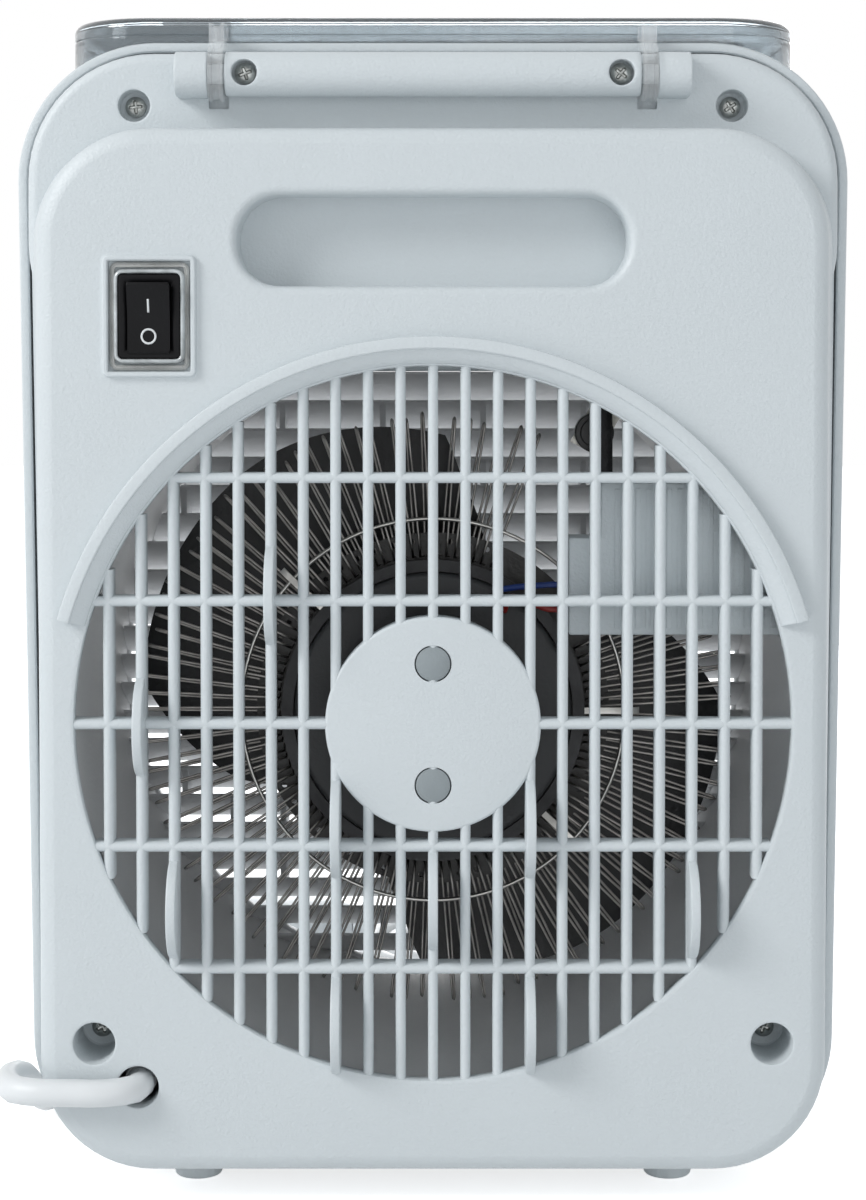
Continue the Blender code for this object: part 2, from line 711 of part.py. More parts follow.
def make_rear_shell():
    shell = piece("rear_shell", lambda shape: loft(shape, plateau_rings(0, 0)), white_plastic())
    join(shell, tool("ledge block", lambda shape: loft(shape, ledge_rings(0, 0))))
    cut(shell,
        tool("panel hollow", lambda shape: loft(shape, plateau_rings(REAR_WALL, REAR_WALL))),
        tool("ledge hollow", lambda shape: loft(shape, ledge_rings(REAR_WALL, REAR_WALL))))
    wall = 2 * WELL_WALL
    join(shell, tool("handle pocket", lambda shape: loft(shape, [
        slot_outline(HANDLE_WIDTH + wall, HANDLE_HEIGHT + wall, y)
        for y in (REAR + REAR_WALL / 2, REAR + HANDLE_DEPTH + WELL_WALL)])))
    join(shell, tool("bosses", rear_bosses), tool("knuckle blocks", knuckles),
         tool("switch seat", switch_seat))
    cut(shell, tool("handle recess", lambda shape: loft(shape, [
        slot_outline(HANDLE_WIDTH, HANDLE_HEIGHT, y)
        for y in (REAR - 1 * MM, REAR + HANDLE_DEPTH)])))
    cut(shell, tool("wells", rear_holes), tool("screw holes", screw_holes),
        tool("hinge cuts", hinge_cuts), tool("switch recess", switch_recess),
        tool("switch hole", switch_hole))
    cut(shell, tool("grille hole", lambda shape: rod(
        shape, "Y", (0, REAR - 1 * MM, GRILLE_Z), 2 * REAR_WALL, GRILLE_RADIUS,
        sides=GRILLE_SIDES)))
    join(shell, make_rear_grille())
    join(shell, tool("hood", lambda shape: loft(shape, hood_rings())))
    for number, (upright_number, height) in enumerate(FINS, 1):
        join(shell, tool(f"fin {number}", lambda shape: loft(
            shape, fin_rings(upright_number * UPRIGHT_PITCH, GRILLE_Z + height * MM))))
    cut(shell, tool("plug holes", plug_holes), tool("motor screw holes", motor_screw_holes))
    return shell


# Front shell, front grille and duct

def body_rings(inset, start, end, edge=FRONT_ROUND):
    """The front shell's outline from its rear rim to its rounded front."""
    def ring(grow, y):
        return upright(rounded(
            BODY_WIDTH_TOP + 2 * grow, BODY_BOTTOM - grow, BODY_TOP + grow,
            BODY_CORNER_BOTTOM + grow, BODY_CORNER_TOP + grow,
            BODY_WIDTH_BOTTOM + 2 * grow), y)

    rings = [ring(-inset, REAR + start)]
    for back, depth in reversed(list(quarter_round(edge))):
        rings.append(ring(-inset - back, REAR + end - depth))
    return rings


def front_posts(shape):
    """Posts from the front wall that the housing screws bite into."""
    for x, z, near in (
            (LOW_SCREW_X, LOW_SCREW_Z, LOW_WELL_DEPTH + REAR_WALL),
            (TOP_SCREW_X, TOP_SCREW_Z, LEDGE_DEPTH + TOP_WELL_DEPTH + REAR_WALL)):
        for side in (-1, 1):
            start = REAR + near + GAP
            rod(shape, "Y", (side * x, start, z), FRONT - FRONT_WALL / 2 - start,
                BOSS_RADIUS, sides=16)


def front_post_holes(shape):
    for x, z, near in (
            (LOW_SCREW_X, LOW_SCREW_Z, LOW_WELL_DEPTH + REAR_WALL),
            (TOP_SCREW_X, TOP_SCREW_Z, LEDGE_DEPTH + TOP_WELL_DEPTH + REAR_WALL)):
        for side in (-1, 1):
            rod(shape, "Y", (side * x, REAR + near - 1 * MM, z), SCREW_HOLD + 2 * MM,
                SCREW_SHANK + GAP, sides=12)


def foot_places():
    for side, side_name in ((-1, "left"), (1, "right")):
        for y, end_name in ((REAR + FOOT_SETBACK, "rear"), (FRONT - FRONT_FOOT_SETBACK, "front")):
            yield f"foot_{end_name}_{side_name}", (side * FOOT_X, y)


def foot_holes(shape):
    for name, (x, y) in foot_places():
        rod(shape, "Z", (x, y, BODY_BOTTOM - 1 * MM), FRONT_WALL + 2 * MM,
            FOOT_PEG_RADIUS + GAP, sides=16)


def deck_hole(shape):
    half_x = DECK_WIDTH / 2 - DECK_LEDGE
    half_y = DECK_DEPTH / 2 - DECK_LEDGE
    box(shape, (-half_x, DECK_Y - half_y, BODY_TOP - 2 * FRONT_WALL),
        (half_x, DECK_Y + half_y, BODY_TOP + 1 * MM))


def make_front_shell():
    shell = piece("front_shell", lambda shape: loft(
        shape, body_rings(0, RIM_DEPTH, BODY_DEPTH)), white_plastic())
    cut(shell, tool("front hollow", lambda shape: loft(shape, body_rings(
        FRONT_WALL, RIM_DEPTH - 1 * MM, BODY_DEPTH - FRONT_WALL, FRONT_ROUND - FRONT_WALL))))
    join(shell, tool("front posts", front_posts))
    cut(shell, tool("front post holes", front_post_holes), tool("foot holes", foot_holes),
        tool("deck hole", deck_hole))
    cut(shell, tool("outlet", lambda shape: rod(
        shape, "Y", (0, FRONT - 2 * FRONT_WALL, GRILLE_Z), 3 * FRONT_WALL, DUCT_RADIUS, sides=40)))


def louvre_cells(shape):
    """Level gaps between the louvres, linked in turn near their ends."""
    reach = DUCT_RADIUS + 2 * MM
    half = LOUVRE_WIDTH / 2
    for step in range(-LOUVRES_A_SIDE, LOUVRES_A_SIDE + 1):
        low = GRILLE_Z + step * LOUVRE_PITCH - LOUVRE_PITCH / 2 + half
        high = low + LOUVRE_PITCH - LOUVRE_WIDTH
        link = LOUVRE_LINKS[step % 2]
        for start, end in ((-reach, -link - half), (-link + half, link - half),
                           (link + half, reach)):
            box(shape, (start, DUCT_FRONT, low), (end, FRONT, high))


def make_front_grille():
    near = LOUVRE_FRONT - LOUVRE_THICKNESS
    grille = piece("front_grille", lambda shape: rod(
        shape, "Y", (0, near, GRILLE_Z), LOUVRE_THICKNESS, DUCT_RADIUS + DUCT_WALL, sides=40),
        white_plastic())
    cells = tool("louvre cells", louvre_cells)
    combine(cells, tool("louvre opening", lambda shape: rod(
        shape, "Y", (0, near - 2 * MM, GRILLE_Z), LOUVRE_THICKNESS + 4 * MM,
        DUCT_RADIUS - 1 * MM, sides=40)), "INTERSECT")
    cut(grille, cells)


def duct_notches(shape):
    """Room in the duct's rear edge for the control box and for the sleeved wires."""
    box(shape, (BOX_LEFT, REAR, BOX_LOW - GAP - 1 * MM),
        (BODY_WIDTH_TOP / 2, REAR + BOX_NEAR + BOX_DEPTH + GAP, BOX_HIGH + GAP + 1 * MM))
    box(shape, (SLEEVE_X - 5 * MM, REAR, GRILLE_Z),
        (SLEEVE_X + 5 * MM, REAR + BOX_NEAR + BOX_DEPTH + GAP, PLATEAU_TOP))


def make_air_duct():
    start = GRILLE_BACK + GAP
    outer = DUCT_RADIUS + DUCT_WALL
    duct = piece("air_duct", lambda shape: turned_about_y(
        shape, [(DUCT_RADIUS, start), (outer, start), (outer, DUCT_FRONT), (DUCT_RADIUS, DUCT_FRONT)],
        (0, GRILLE_Z), sides=40), grey_plastic())
    cut(duct, tool("duct notches", duct_notches))


# Screws, feet and grille plugs

def make_screw(name, x, y, z, length, head=SCREW_HEAD):
    """A pan-head screw whose head starts at the given place and points along +Y."""
    profile = [(head * 0.7, 0), (head, HEAD_HEIGHT * 0.4), (head, HEAD_HEIGHT),
               (SCREW_SHANK, HEAD_HEIGHT), (SCREW_SHANK, HEAD_HEIGHT + length)]
    sides = 8

    def rings(shape):
        loft(shape, [[(radius * math.cos(2 * math.pi * step / sides), depth,
                       radius * math.sin(2 * math.pi * step / sides))
                      for step in range(sides)] for radius, depth in profile])

    piece(name, rings, steel(), (x, y, z))


def make_housing_screws():
    for side, side_name in ((-1, "left"), (1, "right")):
        top_seat = REAR + LEDGE_DEPTH + TOP_WELL_DEPTH - GAP - HEAD_HEIGHT
        low_seat = REAR + LOW_WELL_DEPTH - GAP - HEAD_HEIGHT
        make_screw(f"housing_screw_top_{side_name}", side * TOP_SCREW_X, top_seat,
                   TOP_SCREW_Z, SCREW_HOLD)
        make_screw(f"housing_screw_bottom_{side_name}", side * LOW_SCREW_X, low_seat,
                   LOW_SCREW_Z, SCREW_HOLD)


def make_motor_screws():
    head_y = REAR + GRILLE_RECESS + PLUG_THICKNESS + 2 * GAP
    for side, side_name in ((-1, "lower"), (1, "upper")):
        z = GRILLE_Z + side * MOTOR_SCREW_OFFSET
        make_screw(f"motor_screw_{side_name}", 0, head_y, z, SCREW_HOLD)
        piece(f"grille_plug_{side_name}", lambda shape: rod(
            shape, "Y", (0, 0, 0), PLUG_THICKNESS, PLUG_RADIUS),
            material("grey plug", (0.33, 0.38, 0.42), 0.5), (0, REAR + GRILLE_RECESS, z))


def make_feet():
    for name, (x, y) in foot_places():
        def rings(shape):
            profile = [(FOOT_RADIUS - 0.8 * MM, 0), (FOOT_RADIUS, 1.2 * MM),
                       (FOOT_RADIUS, FOOT_HEIGHT - GAP), (FOOT_PEG_RADIUS, FOOT_HEIGHT - GAP),
                       (FOOT_PEG_RADIUS, FOOT_HEIGHT + FRONT_WALL)]
            sides = 14
            loft(shape, [[(radius * math.cos(2 * math.pi * step / sides),
                           radius * math.sin(2 * math.pi * step / sides), height)
                          for step in range(sides)] for radius, height in profile])
        piece(name, rings, rubber(), (x, y, 0))


# Motor and fan

def make_motor():
    near = REAR + MOTOR_COVER_DEPTH
    post_start = GRILLE_BACK + GAP
    cover = piece("motor_cover", lambda shape: rod(
        shape, "Y", (0, near, GRILLE_Z), MOTOR_COVER_SKIRT, MOTOR_COVER_RADIUS, sides=28),
        grey_plastic())
    cut(cover, tool("motor cover hollow", lambda shape: rod(
        shape, "Y", (0, near + MOTOR_COVER_WALL, GRILLE_Z), MOTOR_COVER_SKIRT,
        MOTOR_COVER_RADIUS - MOTOR_COVER_WALL, sides=28)))

    def posts(shape):
        for side in (-1, 1):
            rod(shape, "Y", (0, post_start, GRILLE_Z + side * MOTOR_SCREW_OFFSET),
                near + MOTOR_COVER_WALL / 2 - post_start, MOTOR_POST_RADIUS, sides=16)

    def post_holes(shape):
        for side in (-1, 1):
            rod(shape, "Y", (0, post_start - 1 * MM, GRILLE_Z + side * MOTOR_SCREW_OFFSET),
                SCREW_HOLD + 1 * MM, SCREW_SHANK + GAP, sides=12)

    join(cover, tool("motor posts", posts))
    cut(cover, tool("motor post holes", post_holes))
    body = piece("motor_body", lambda shape: rod(
        shape, "Y", (0, MOTOR_NEAR, GRILLE_Z), MOTOR_LENGTH, MOTOR_RADIUS, sides=32), steel())
    bore = MOTOR_LENGTH * 0.75
    cut(body, tool("motor bore", lambda shape: rod(
        shape, "Y", (0, MOTOR_FAR - bore, GRILLE_Z), bore + 1 * MM, SHAFT_RADIUS + GAP, sides=16)))
    piece("motor_shaft", lambda shape: rod(
        shape, "Y", (0, MOTOR_FAR - bore + GAP, 0), bore - GAP + SHAFT_REACH, SHAFT_RADIUS,
        sides=16), steel(), (0, 0, GRILLE_Z))


# Radius, and the angles of the two edges of the first blade at that radius
BLADE_STATIONS = [(FAN_HUB_RADIUS - 3 * MM, 66, 222), (FAN_TRAILING_RADIUS - 25 * MM, 69, 218),
                  (FAN_TRAILING_RADIUS - 7 * MM, 82, 204)]
BLADE_TIP_ANGLES = (91, 178)


def make_blade(shape, turn):
    """One blade as a twisted plate, wide at its root, with an uneven tip."""
    steps = 9
    middle = REAR + FAN_DEPTH + FAN_HUB_LENGTH / 2
    half = BLADE_THICKNESS / 2
    rows = []
    for step in range(steps + 1):
        share = step / steps
        tip = FAN_TRAILING_RADIUS + (FAN_RADIUS - FAN_TRAILING_RADIUS) * math.sin(
            math.radians(90 * min(1.0, 0.25 + 1.5 * share)))
        near = []
        far = []
        for radius, first, last in BLADE_STATIONS + [(tip, *BLADE_TIP_ANGLES)]:
            angle = math.radians(first + (last - first) * share + turn)
            y = middle + FAN_PITCH * (share - 0.5) * min(1.0, 0.55 + radius / FAN_RADIUS * 0.45)
            x = radius * math.cos(angle)
            z = radius * math.sin(angle)
            near.append(shape.verts.new((x, y - half, z)))
            far.append(shape.verts.new((x, y + half, z)))
        rows.append((near, far))
    for (near, far), (next_near, next_far) in zip(rows, rows[1:]):
        for index in range(len(near) - 1):
            shape.faces.new((near[index], near[index + 1], next_near[index + 1], next_near[index]))
            shape.faces.new((far[index], far[index + 1], next_far[index + 1], next_far[index]))
        for edge in (0, -1):
            shape.faces.new((near[edge], far[edge], next_far[edge], next_near[edge]))
    for near, far in (rows[0], rows[-1]):
        for index in range(len(near) - 1):
            shape.faces.new((near[index], near[index + 1], far[index + 1], far[index]))


def make_fan():
    start = REAR + FAN_DEPTH
    fan = piece("fan_impeller", lambda shape: rod(
        shape, "Y", (0, start, 0), FAN_HUB_LENGTH, FAN_HUB_RADIUS, sides=32),
        black_plastic(), (0, 0, GRILLE_Z))
    for number in range(BLADES):
        turn = 360 * number / BLADES
        join(fan, tool(f"blade {number + 1}", lambda shape: make_blade(shape, turn),
                       (0, 0, GRILLE_Z)))
    cut(fan, tool("fan bore", lambda shape: rod(
        shape, "Y", (0, start - 1 * MM, 0), FAN_HUB_LENGTH + 2 * MM, SHAFT_RADIUS + GAP, sides=16),
        (0, 0, GRILLE_Z)))
    nut_start = start + FAN_HUB_LENGTH + GAP
    nut_length = MOTOR_FAR + SHAFT_REACH - nut_start
    nut = piece("fan_nut", lambda shape: rod(
        shape, "Y", (0, nut_start, 0), nut_length, 2.6 * SHAFT_RADIUS, sides=6),
        steel(), (0, 0, GRILLE_Z))
    cut(nut, tool("nut bore", lambda shape: rod(
        shape, "Y", (0, nut_start - 1 * MM, 0), nut_length + 2 * MM, SHAFT_RADIUS + GAP, sides=16),
        (0, 0, GRILLE_Z)))


# Heating element

def around(angle, radius, y, across=0.0):
    """A point at an angle and radius round the grille's axis, moved across the radius."""
    turn = math.radians(angle)
    return Vector((radius * math.cos(turn) - across * math.sin(turn), y,
                   GRILLE_Z + radius * math.sin(turn) + across * math.cos(turn)))


def radial_box(shape, angle, inner, outer, near, far, half_width):
    """A flat bar along a radius of the grille's axis."""
    corners = [(inner, -half_width), (outer, -half_width), (outer, half_width), (inner, half_width)]
    loft(shape, [[around(angle, radius, y, across) for radius, across in corners]
                 for y in (near, far)])


def least_gap(points, radius, skip):
    """Least distance between the surfaces of far-apart turns of a tube."""
    fine = []
    for one, two in zip(points, points[1:]):
        fine += [Vector(one).lerp(Vector(two), share / 4) for share in range(4)]
    nearest = min((one - two).length for index, one in enumerate(fine)
                  for two in fine[index + skip * 4:])
    return nearest - 2 * radius


def element_points():
    """Hairpins side by side, each out to a round tip and back in."""
    y = REAR + ELEMENT_DEPTH
    step = ELEMENT_SWEEP / ELEMENT_LOOPS
    half = ELEMENT_LEG_SPACING / 2
    inner = ELEMENT_INNER + half
    points = []
    for loop in range(ELEMENT_LOOPS):
        angle = ELEMENT_START + step * (loop + 0.5)
        points.append(around(angle, inner, y, -half))
        for turn in (-90, 0, 90):
            across = half * math.sin(math.radians(turn))
            out = half * math.cos(math.radians(turn))
            points.append(around(angle, ELEMENT_OUTER - half + out, y, across))
        points.append(around(angle, inner, y, half))
        if loop < ELEMENT_LOOPS - 1:
            points.append(around(angle + step / 2, ELEMENT_INNER, y))
    return points


def make_element():
    points = element_points()
    tube("heating_wire", points, ELEMENT_WIRE, heating_alloy(), resolution=1)
    print("heating_wire least gap mm", round(least_gap(points, ELEMENT_WIRE, 6) / MM, 2))
    centre = (0, GRILLE_Z)
    mica_near = REAR + ELEMENT_DEPTH + ELEMENT_WIRE + GAP
    hole = MOTOR_COVER_RADIUS + GAP
    piece("mica_ring", lambda shape: turned_about_y(shape, [
        (hole, mica_near), (MICA_OUTER, mica_near),
        (MICA_OUTER, mica_near + MICA_THICKNESS), (hole, mica_near + MICA_THICKNESS)], centre), mica())
    ring_y = REAR + ELEMENT_DEPTH - ELEMENT_WIRE - GAP - WIRE_RING_THICK
    piece("wire_ring", lambda shape: turned_about_y(shape, [
        (WIRE_RING_RADIUS + WIRE_RING_THICK * math.cos(math.radians(angle)),
         ring_y + WIRE_RING_THICK * math.sin(math.radians(angle)))
        for angle in range(0, 360, 90)], centre), steel())
    far = ring_y - WIRE_RING_THICK - GAP
    near = far - STRIP_THICKNESS
    bracket = piece("element_bracket", lambda shape: turned_about_y(shape, [
        (hole, near), (hole + STRIP_WIDTH, near), (hole + STRIP_WIDTH, far), (hole, far)],
        centre), steel())

    def strips(shape):
        for angle in STRIP_ANGLES:
            radial_box(shape, angle, hole + STRIP_WIDTH / 2, STRIP_REACH, near + 0.1 * MM,
                       far - 0.1 * MM, STRIP_WIDTH / 2)

    join(bracket, tool("element strips", strips))
    clip_near = REAR + ELEMENT_DEPTH
    piece("cutout_bracket", lambda shape: radial_box(
        shape, CUTOUT_ANGLE, ELEMENT_OUTER, DUCT_RADIUS - 2 * GAP, clip_near,
        clip_near + STRIP_THICKNESS, CUTOUT_RADIUS * 0.8), steel())
    seat = around(CUTOUT_ANGLE, ELEMENT_OUTER + CUTOUT_RADIUS, clip_near - GAP - CUTOUT_RADIUS)
    piece("thermal_cutout", lambda shape: rod(
        shape, "Y", (0, 0, 0), CUTOUT_RADIUS, CUTOUT_RADIUS, sides=20), black_plastic(), seat)


# Control box and wiring

def smooth_route(points, spacing):
    """Points at even steps along a smooth curve through the given points."""
    spots = [Vector(point) for point in points]
    ends = [2 * spots[0] - spots[1]] + spots + [2 * spots[-1] - spots[-2]]
    fine = []
    for before, one, two, after in zip(ends, ends[1:], ends[2:], ends[3:]):
        for step in range(20):
            t = step / 20
            fine.append(0.5 * (2 * one + (two - before) * t
                               + (2 * before - 5 * one + 4 * two - after) * t * t
                               + (3 * one - before - 3 * two + after) * t ** 3))
    fine.append(spots[-1])
    lengths = [0.0]
    for one, two in zip(fine, fine[1:]):
        lengths.append(lengths[-1] + (two - one).length)
    count = max(2, round(lengths[-1] / spacing))
    route = []
    index = 0
    for step in range(count + 1):
        target = lengths[-1] * step / count
        while index < len(fine) - 2 and lengths[index + 1] < target:
            index += 1
        share = (target - lengths[index]) / (lengths[index + 1] - lengths[index])
        route.append(fine[index].lerp(fine[index + 1], share))
    return route


def make_control_box():
    near = REAR + BOX_NEAR
    far = near + BOX_DEPTH
    outline = [(BOX_LEFT, BOX_LOW), (BOX_RIGHT, BOX_LOW), (BOX_RIGHT, BOX_HIGH),
               (BOX_STEP, BOX_HIGH), (BOX_STEP, BOX_STEP_Z), (BOX_LEFT, BOX_STEP_Z)]
    piece("control_box", lambda shape: loft(shape, [upright(outline, y) for y in (near, far)]),
          white_plastic())


def make_wiring():
    middle = REAR + BOX_NEAR + BOX_DEPTH / 2
    body_floor = CONTROL_BODY_TOP - CONTROL_BODY[2]
    sleeve = [(SLEEVE_X, middle, BOX_HIGH + GAP), (SLEEVE_X, middle + 1 * MM, BOX_HIGH + 20 * MM),
              (SLEEVE_X, middle + 5 * MM, BOX_HIGH + 42 * MM),
              (SLEEVE_X - 2 * MM, middle + 18 * MM, body_floor - 22 * MM),
              (KNOB_SPACING / 2 + 4 * MM, DECK_Y - 6 * MM, body_floor - 16 * MM),
              (KNOB_SPACING / 2, DECK_Y, body_floor - 7 * MM),
              (KNOB_SPACING / 2, DECK_Y, body_floor - GAP)]
    tube("wire_sleeve", smooth_route(sleeve, 6 * MM), SLEEVE_RADIUS, black_plastic())
    red = material("red wire", (0.5, 0.02, 0.02), 0.4)
    blue = material("blue wire", (0.02, 0.06, 0.4), 0.4)
    start_y = REAR + MOTOR_COVER_DEPTH - GAP - WIRE_RADIUS
    for name, finish, rise in (("motor_wire_red", red, 3 * MM), ("motor_wire_blue", blue, 9 * MM)):
        start = around(52 + rise / MM, MOTOR_COVER_RADIUS - 4 * MM, start_y)
        end = Vector((BOX_LEFT - GAP, middle, BOX_LOW + rise + 3 * MM))
        tube(name, smooth_route([start, start + Vector((2 * MM, -3 * MM, 4 * MM)),
                                 end - Vector((5 * MM, 0, 0)), end], 3 * MM),
             WIRE_RADIUS, finish, resolution=1)


# Controls under the lid

def make_deck():
    top = BODY_TOP + GAP
    floor = BODY_TOP - DECK_SINK
    half_x = DECK_WIDTH / 2
    half_y = DECK_DEPTH / 2
    inset = DECK_LEDGE + GAP
    deck = piece("control_deck", lambda shape: box(
        shape, (-half_x, DECK_Y - half_y, top), (half_x, DECK_Y + half_y, top + DECK_WALL)),
        white_plastic())
    join(deck, tool("deck tub", lambda shape: box(
        shape, (inset - half_x, DECK_Y - half_y + inset, floor - DECK_WALL),
        (half_x - inset, DECK_Y + half_y - inset, top + DECK_WALL / 2))))
    inset += DECK_WALL
    cut(deck, tool("deck hollow", lambda shape: box(
        shape, (inset - half_x, DECK_Y - half_y + inset, floor),
        (half_x - inset, DECK_Y + half_y - inset, top + 2 * DECK_WALL))))

    def holes(shape):
        for side in (-1, 1):
            rod(shape, "Z", (side * KNOB_SPACING / 2, DECK_Y, floor - 2 * DECK_WALL),
                3 * DECK_WALL, KNOB_SHAFT_RADIUS + GAP, sides=20)
        rod(shape, "Z", (0, LENS_Y, floor - 2 * DECK_WALL), 3 * DECK_WALL,
            LENS_RADIUS + GAP, sides=20)

    cut(deck, tool("deck holes", holes))
    piece("indicator_lens", lambda shape: rod(
        shape, "Z", (0, 0, 0), DECK_WALL + 1 * MM, LENS_RADIUS, sides=20),
        material("amber lens", (0.7, 0.25, 0.02), 0.2), (0, LENS_Y, floor - DECK_WALL))
    for name, body_name, side in (("mode_knob", "mode_switch_body", -1),
                                  ("thermostat_knob", "thermostat_body", 1)):
        x = side * KNOB_SPACING / 2
        low = floor + GAP
        knob = piece(name, lambda shape: rod(
            shape, "Z", (0, 0, 0), KNOB_HEIGHT * 0.4, KNOB_RADIUS, KNOB_RADIUS - 0.6 * MM, sides=28),
            white_plastic(), (x, DECK_Y, low))
        join(knob, tool(f"{name} grip", lambda shape: box(
            shape, (-KNOB_RADIUS * 0.9, -KNOB_GRIP / 2, KNOB_HEIGHT * 0.2),
            (KNOB_RADIUS * 0.9, KNOB_GRIP / 2, KNOB_HEIGHT)), (x, DECK_Y, low)))
        join(knob, tool(f"{name} shaft", lambda shape: rod(
            shape, "Z", (0, 0, -KNOB_SHAFT_LENGTH), KNOB_SHAFT_LENGTH + 1 * MM,
            KNOB_SHAFT_RADIUS, sides=20), (x, DECK_Y, low)))
        size_x, size_y, size_z = CONTROL_BODY
        body = piece(body_name, lambda shape: box(
            shape, (-size_x / 2, -size_y / 2, -size_z), (size_x / 2, size_y / 2, 0)),
            black_plastic(), (x, DECK_Y, CONTROL_BODY_TOP))
        cut(body, tool(f"{body_name} bore", lambda shape: rod(
            shape, "Z", (0, 0, -KNOB_SHAFT_LENGTH), KNOB_SHAFT_LENGTH + 1 * MM,
            KNOB_SHAFT_RADIUS + GAP, sides=20), (x, DECK_Y, CONTROL_BODY_TOP)))


# Lid and hinge

def flat(points, z):
    return [(x, y, z) for x, y in points]


def lid_rings(inset, low, high, edge):
    def ring(back, z):
        return flat(rounded(LID_WIDTH - 2 * inset - 2 * back, LID_REAR + inset + back,
                            LID_REAR + LID_DEPTH - inset - back, LID_CORNER - inset,
                            LID_CORNER - inset), z)

    rings = [ring(0, low)]
    for back, depth in reversed(list(quarter_round(edge))):
        rings.append(ring(back, high - depth))
    return rings


def make_lid():
    low = LID_TOP - LID_SKIRT
    lid = piece("lid", lambda shape: loft(shape, lid_rings(0, low, LID_TOP, LID_ROUND)),
                smoked_clear())
    cut(lid, tool("lid hollow", lambda shape: loft(shape, lid_rings(
        LID_WALL, low - 1 * MM, LID_TOP - LID_WALL, LID_ROUND / 2))))
    cut(lid, tool("body under lid", lambda shape: loft(shape, body_rings(
        -GAP, RIM_DEPTH / 2, BODY_DEPTH - FRONT_ROUND, GAP))))
    set_origin(lid, (0, HINGE_Y, HINGE_Z))


def arm_profile():
    points = [(HINGE_Y + HINGE_ARM_RADIUS * math.cos(math.radians(angle)),
               HINGE_Z + HINGE_ARM_RADIUS * math.sin(math.radians(angle)))
              for angle in range(120, 376, 16)]
    link_low = BODY_TOP + GAP
    link_high = LID_TOP - LID_WALL - 1 * MM
    points += [(HINGE_Y + HINGE_ARM_RADIUS, link_low), (LID_REAR - GAP, link_low),
               (LID_REAR - GAP, link_high), (HINGE_Y - 1 * MM, link_high)]
    return points


def make_hinge():
    pin = HINGE_ARM_WIDTH + KNUCKLE_WIDTH - 2 * MM
    half = HINGE_BAR_LENGTH / 2
    bar = piece("hinge_bar", lambda shape: rod(
        shape, "X", (-half, HINGE_Y, HINGE_Z), HINGE_BAR_LENGTH, HINGE_BAR_RADIUS, sides=24),
        white_plastic())
    join(bar, tool("hinge pins", lambda shape: rod(
        shape, "X", (-half - pin, HINGE_Y, HINGE_Z), HINGE_BAR_LENGTH + 2 * pin,
        HINGE_PIN_RADIUS, sides=16)))

    def wells(shape):
        for side in (-1, 1):
            rod(shape, "Y", (side * HINGE_SCREW_X, HINGE_Y - 2 * HINGE_BAR_RADIUS, HINGE_Z),
                2 * HINGE_BAR_RADIUS, SCREW_HEAD + 2 * GAP, sides=20)

    def holes(shape):
        for side in (-1, 1):
            rod(shape, "Y", (side * HINGE_SCREW_X, HINGE_Y - 1 * MM, HINGE_Z),
                2 * HINGE_BAR_RADIUS, SCREW_SHANK + GAP, sides=12)

    cut(bar, tool("hinge screw wells", wells), tool("hinge screw holes", holes))
    for side, side_name in ((-1, "left"), (1, "right")):
        make_screw(f"hinge_bar_screw_{side_name}", side * HINGE_SCREW_X,
                   HINGE_Y - GAP - HEAD_HEIGHT, HINGE_Z, SCREW_HOLD + HINGE_BAR_RADIUS)
        near = half + GAP if side > 0 else -half - GAP - HINGE_ARM_WIDTH
        arm = piece(f"lid_hinge_arm_{side_name}", lambda shape: loft(shape, [
            [(x, y - HINGE_Y, z - HINGE_Z) for y, z in arm_profile()]
            for x in (near, near + HINGE_ARM_WIDTH)]), clear_plastic(), (0, HINGE_Y, HINGE_Z))
        cut(arm, tool(f"arm bore {side_name}", lambda shape: rod(
            shape, "X", (near - 1 * MM, HINGE_Y, HINGE_Z), HINGE_ARM_WIDTH + 2 * MM,
            HINGE_PIN_RADIUS + GAP, sides=20)))


# Rocker switch

def block(shape, half_x, half_z, near, far):
    box(shape, (SWITCH_X - half_x, near, SWITCH_Z - half_z),
        (SWITCH_X + half_x, far, SWITCH_Z + half_z))


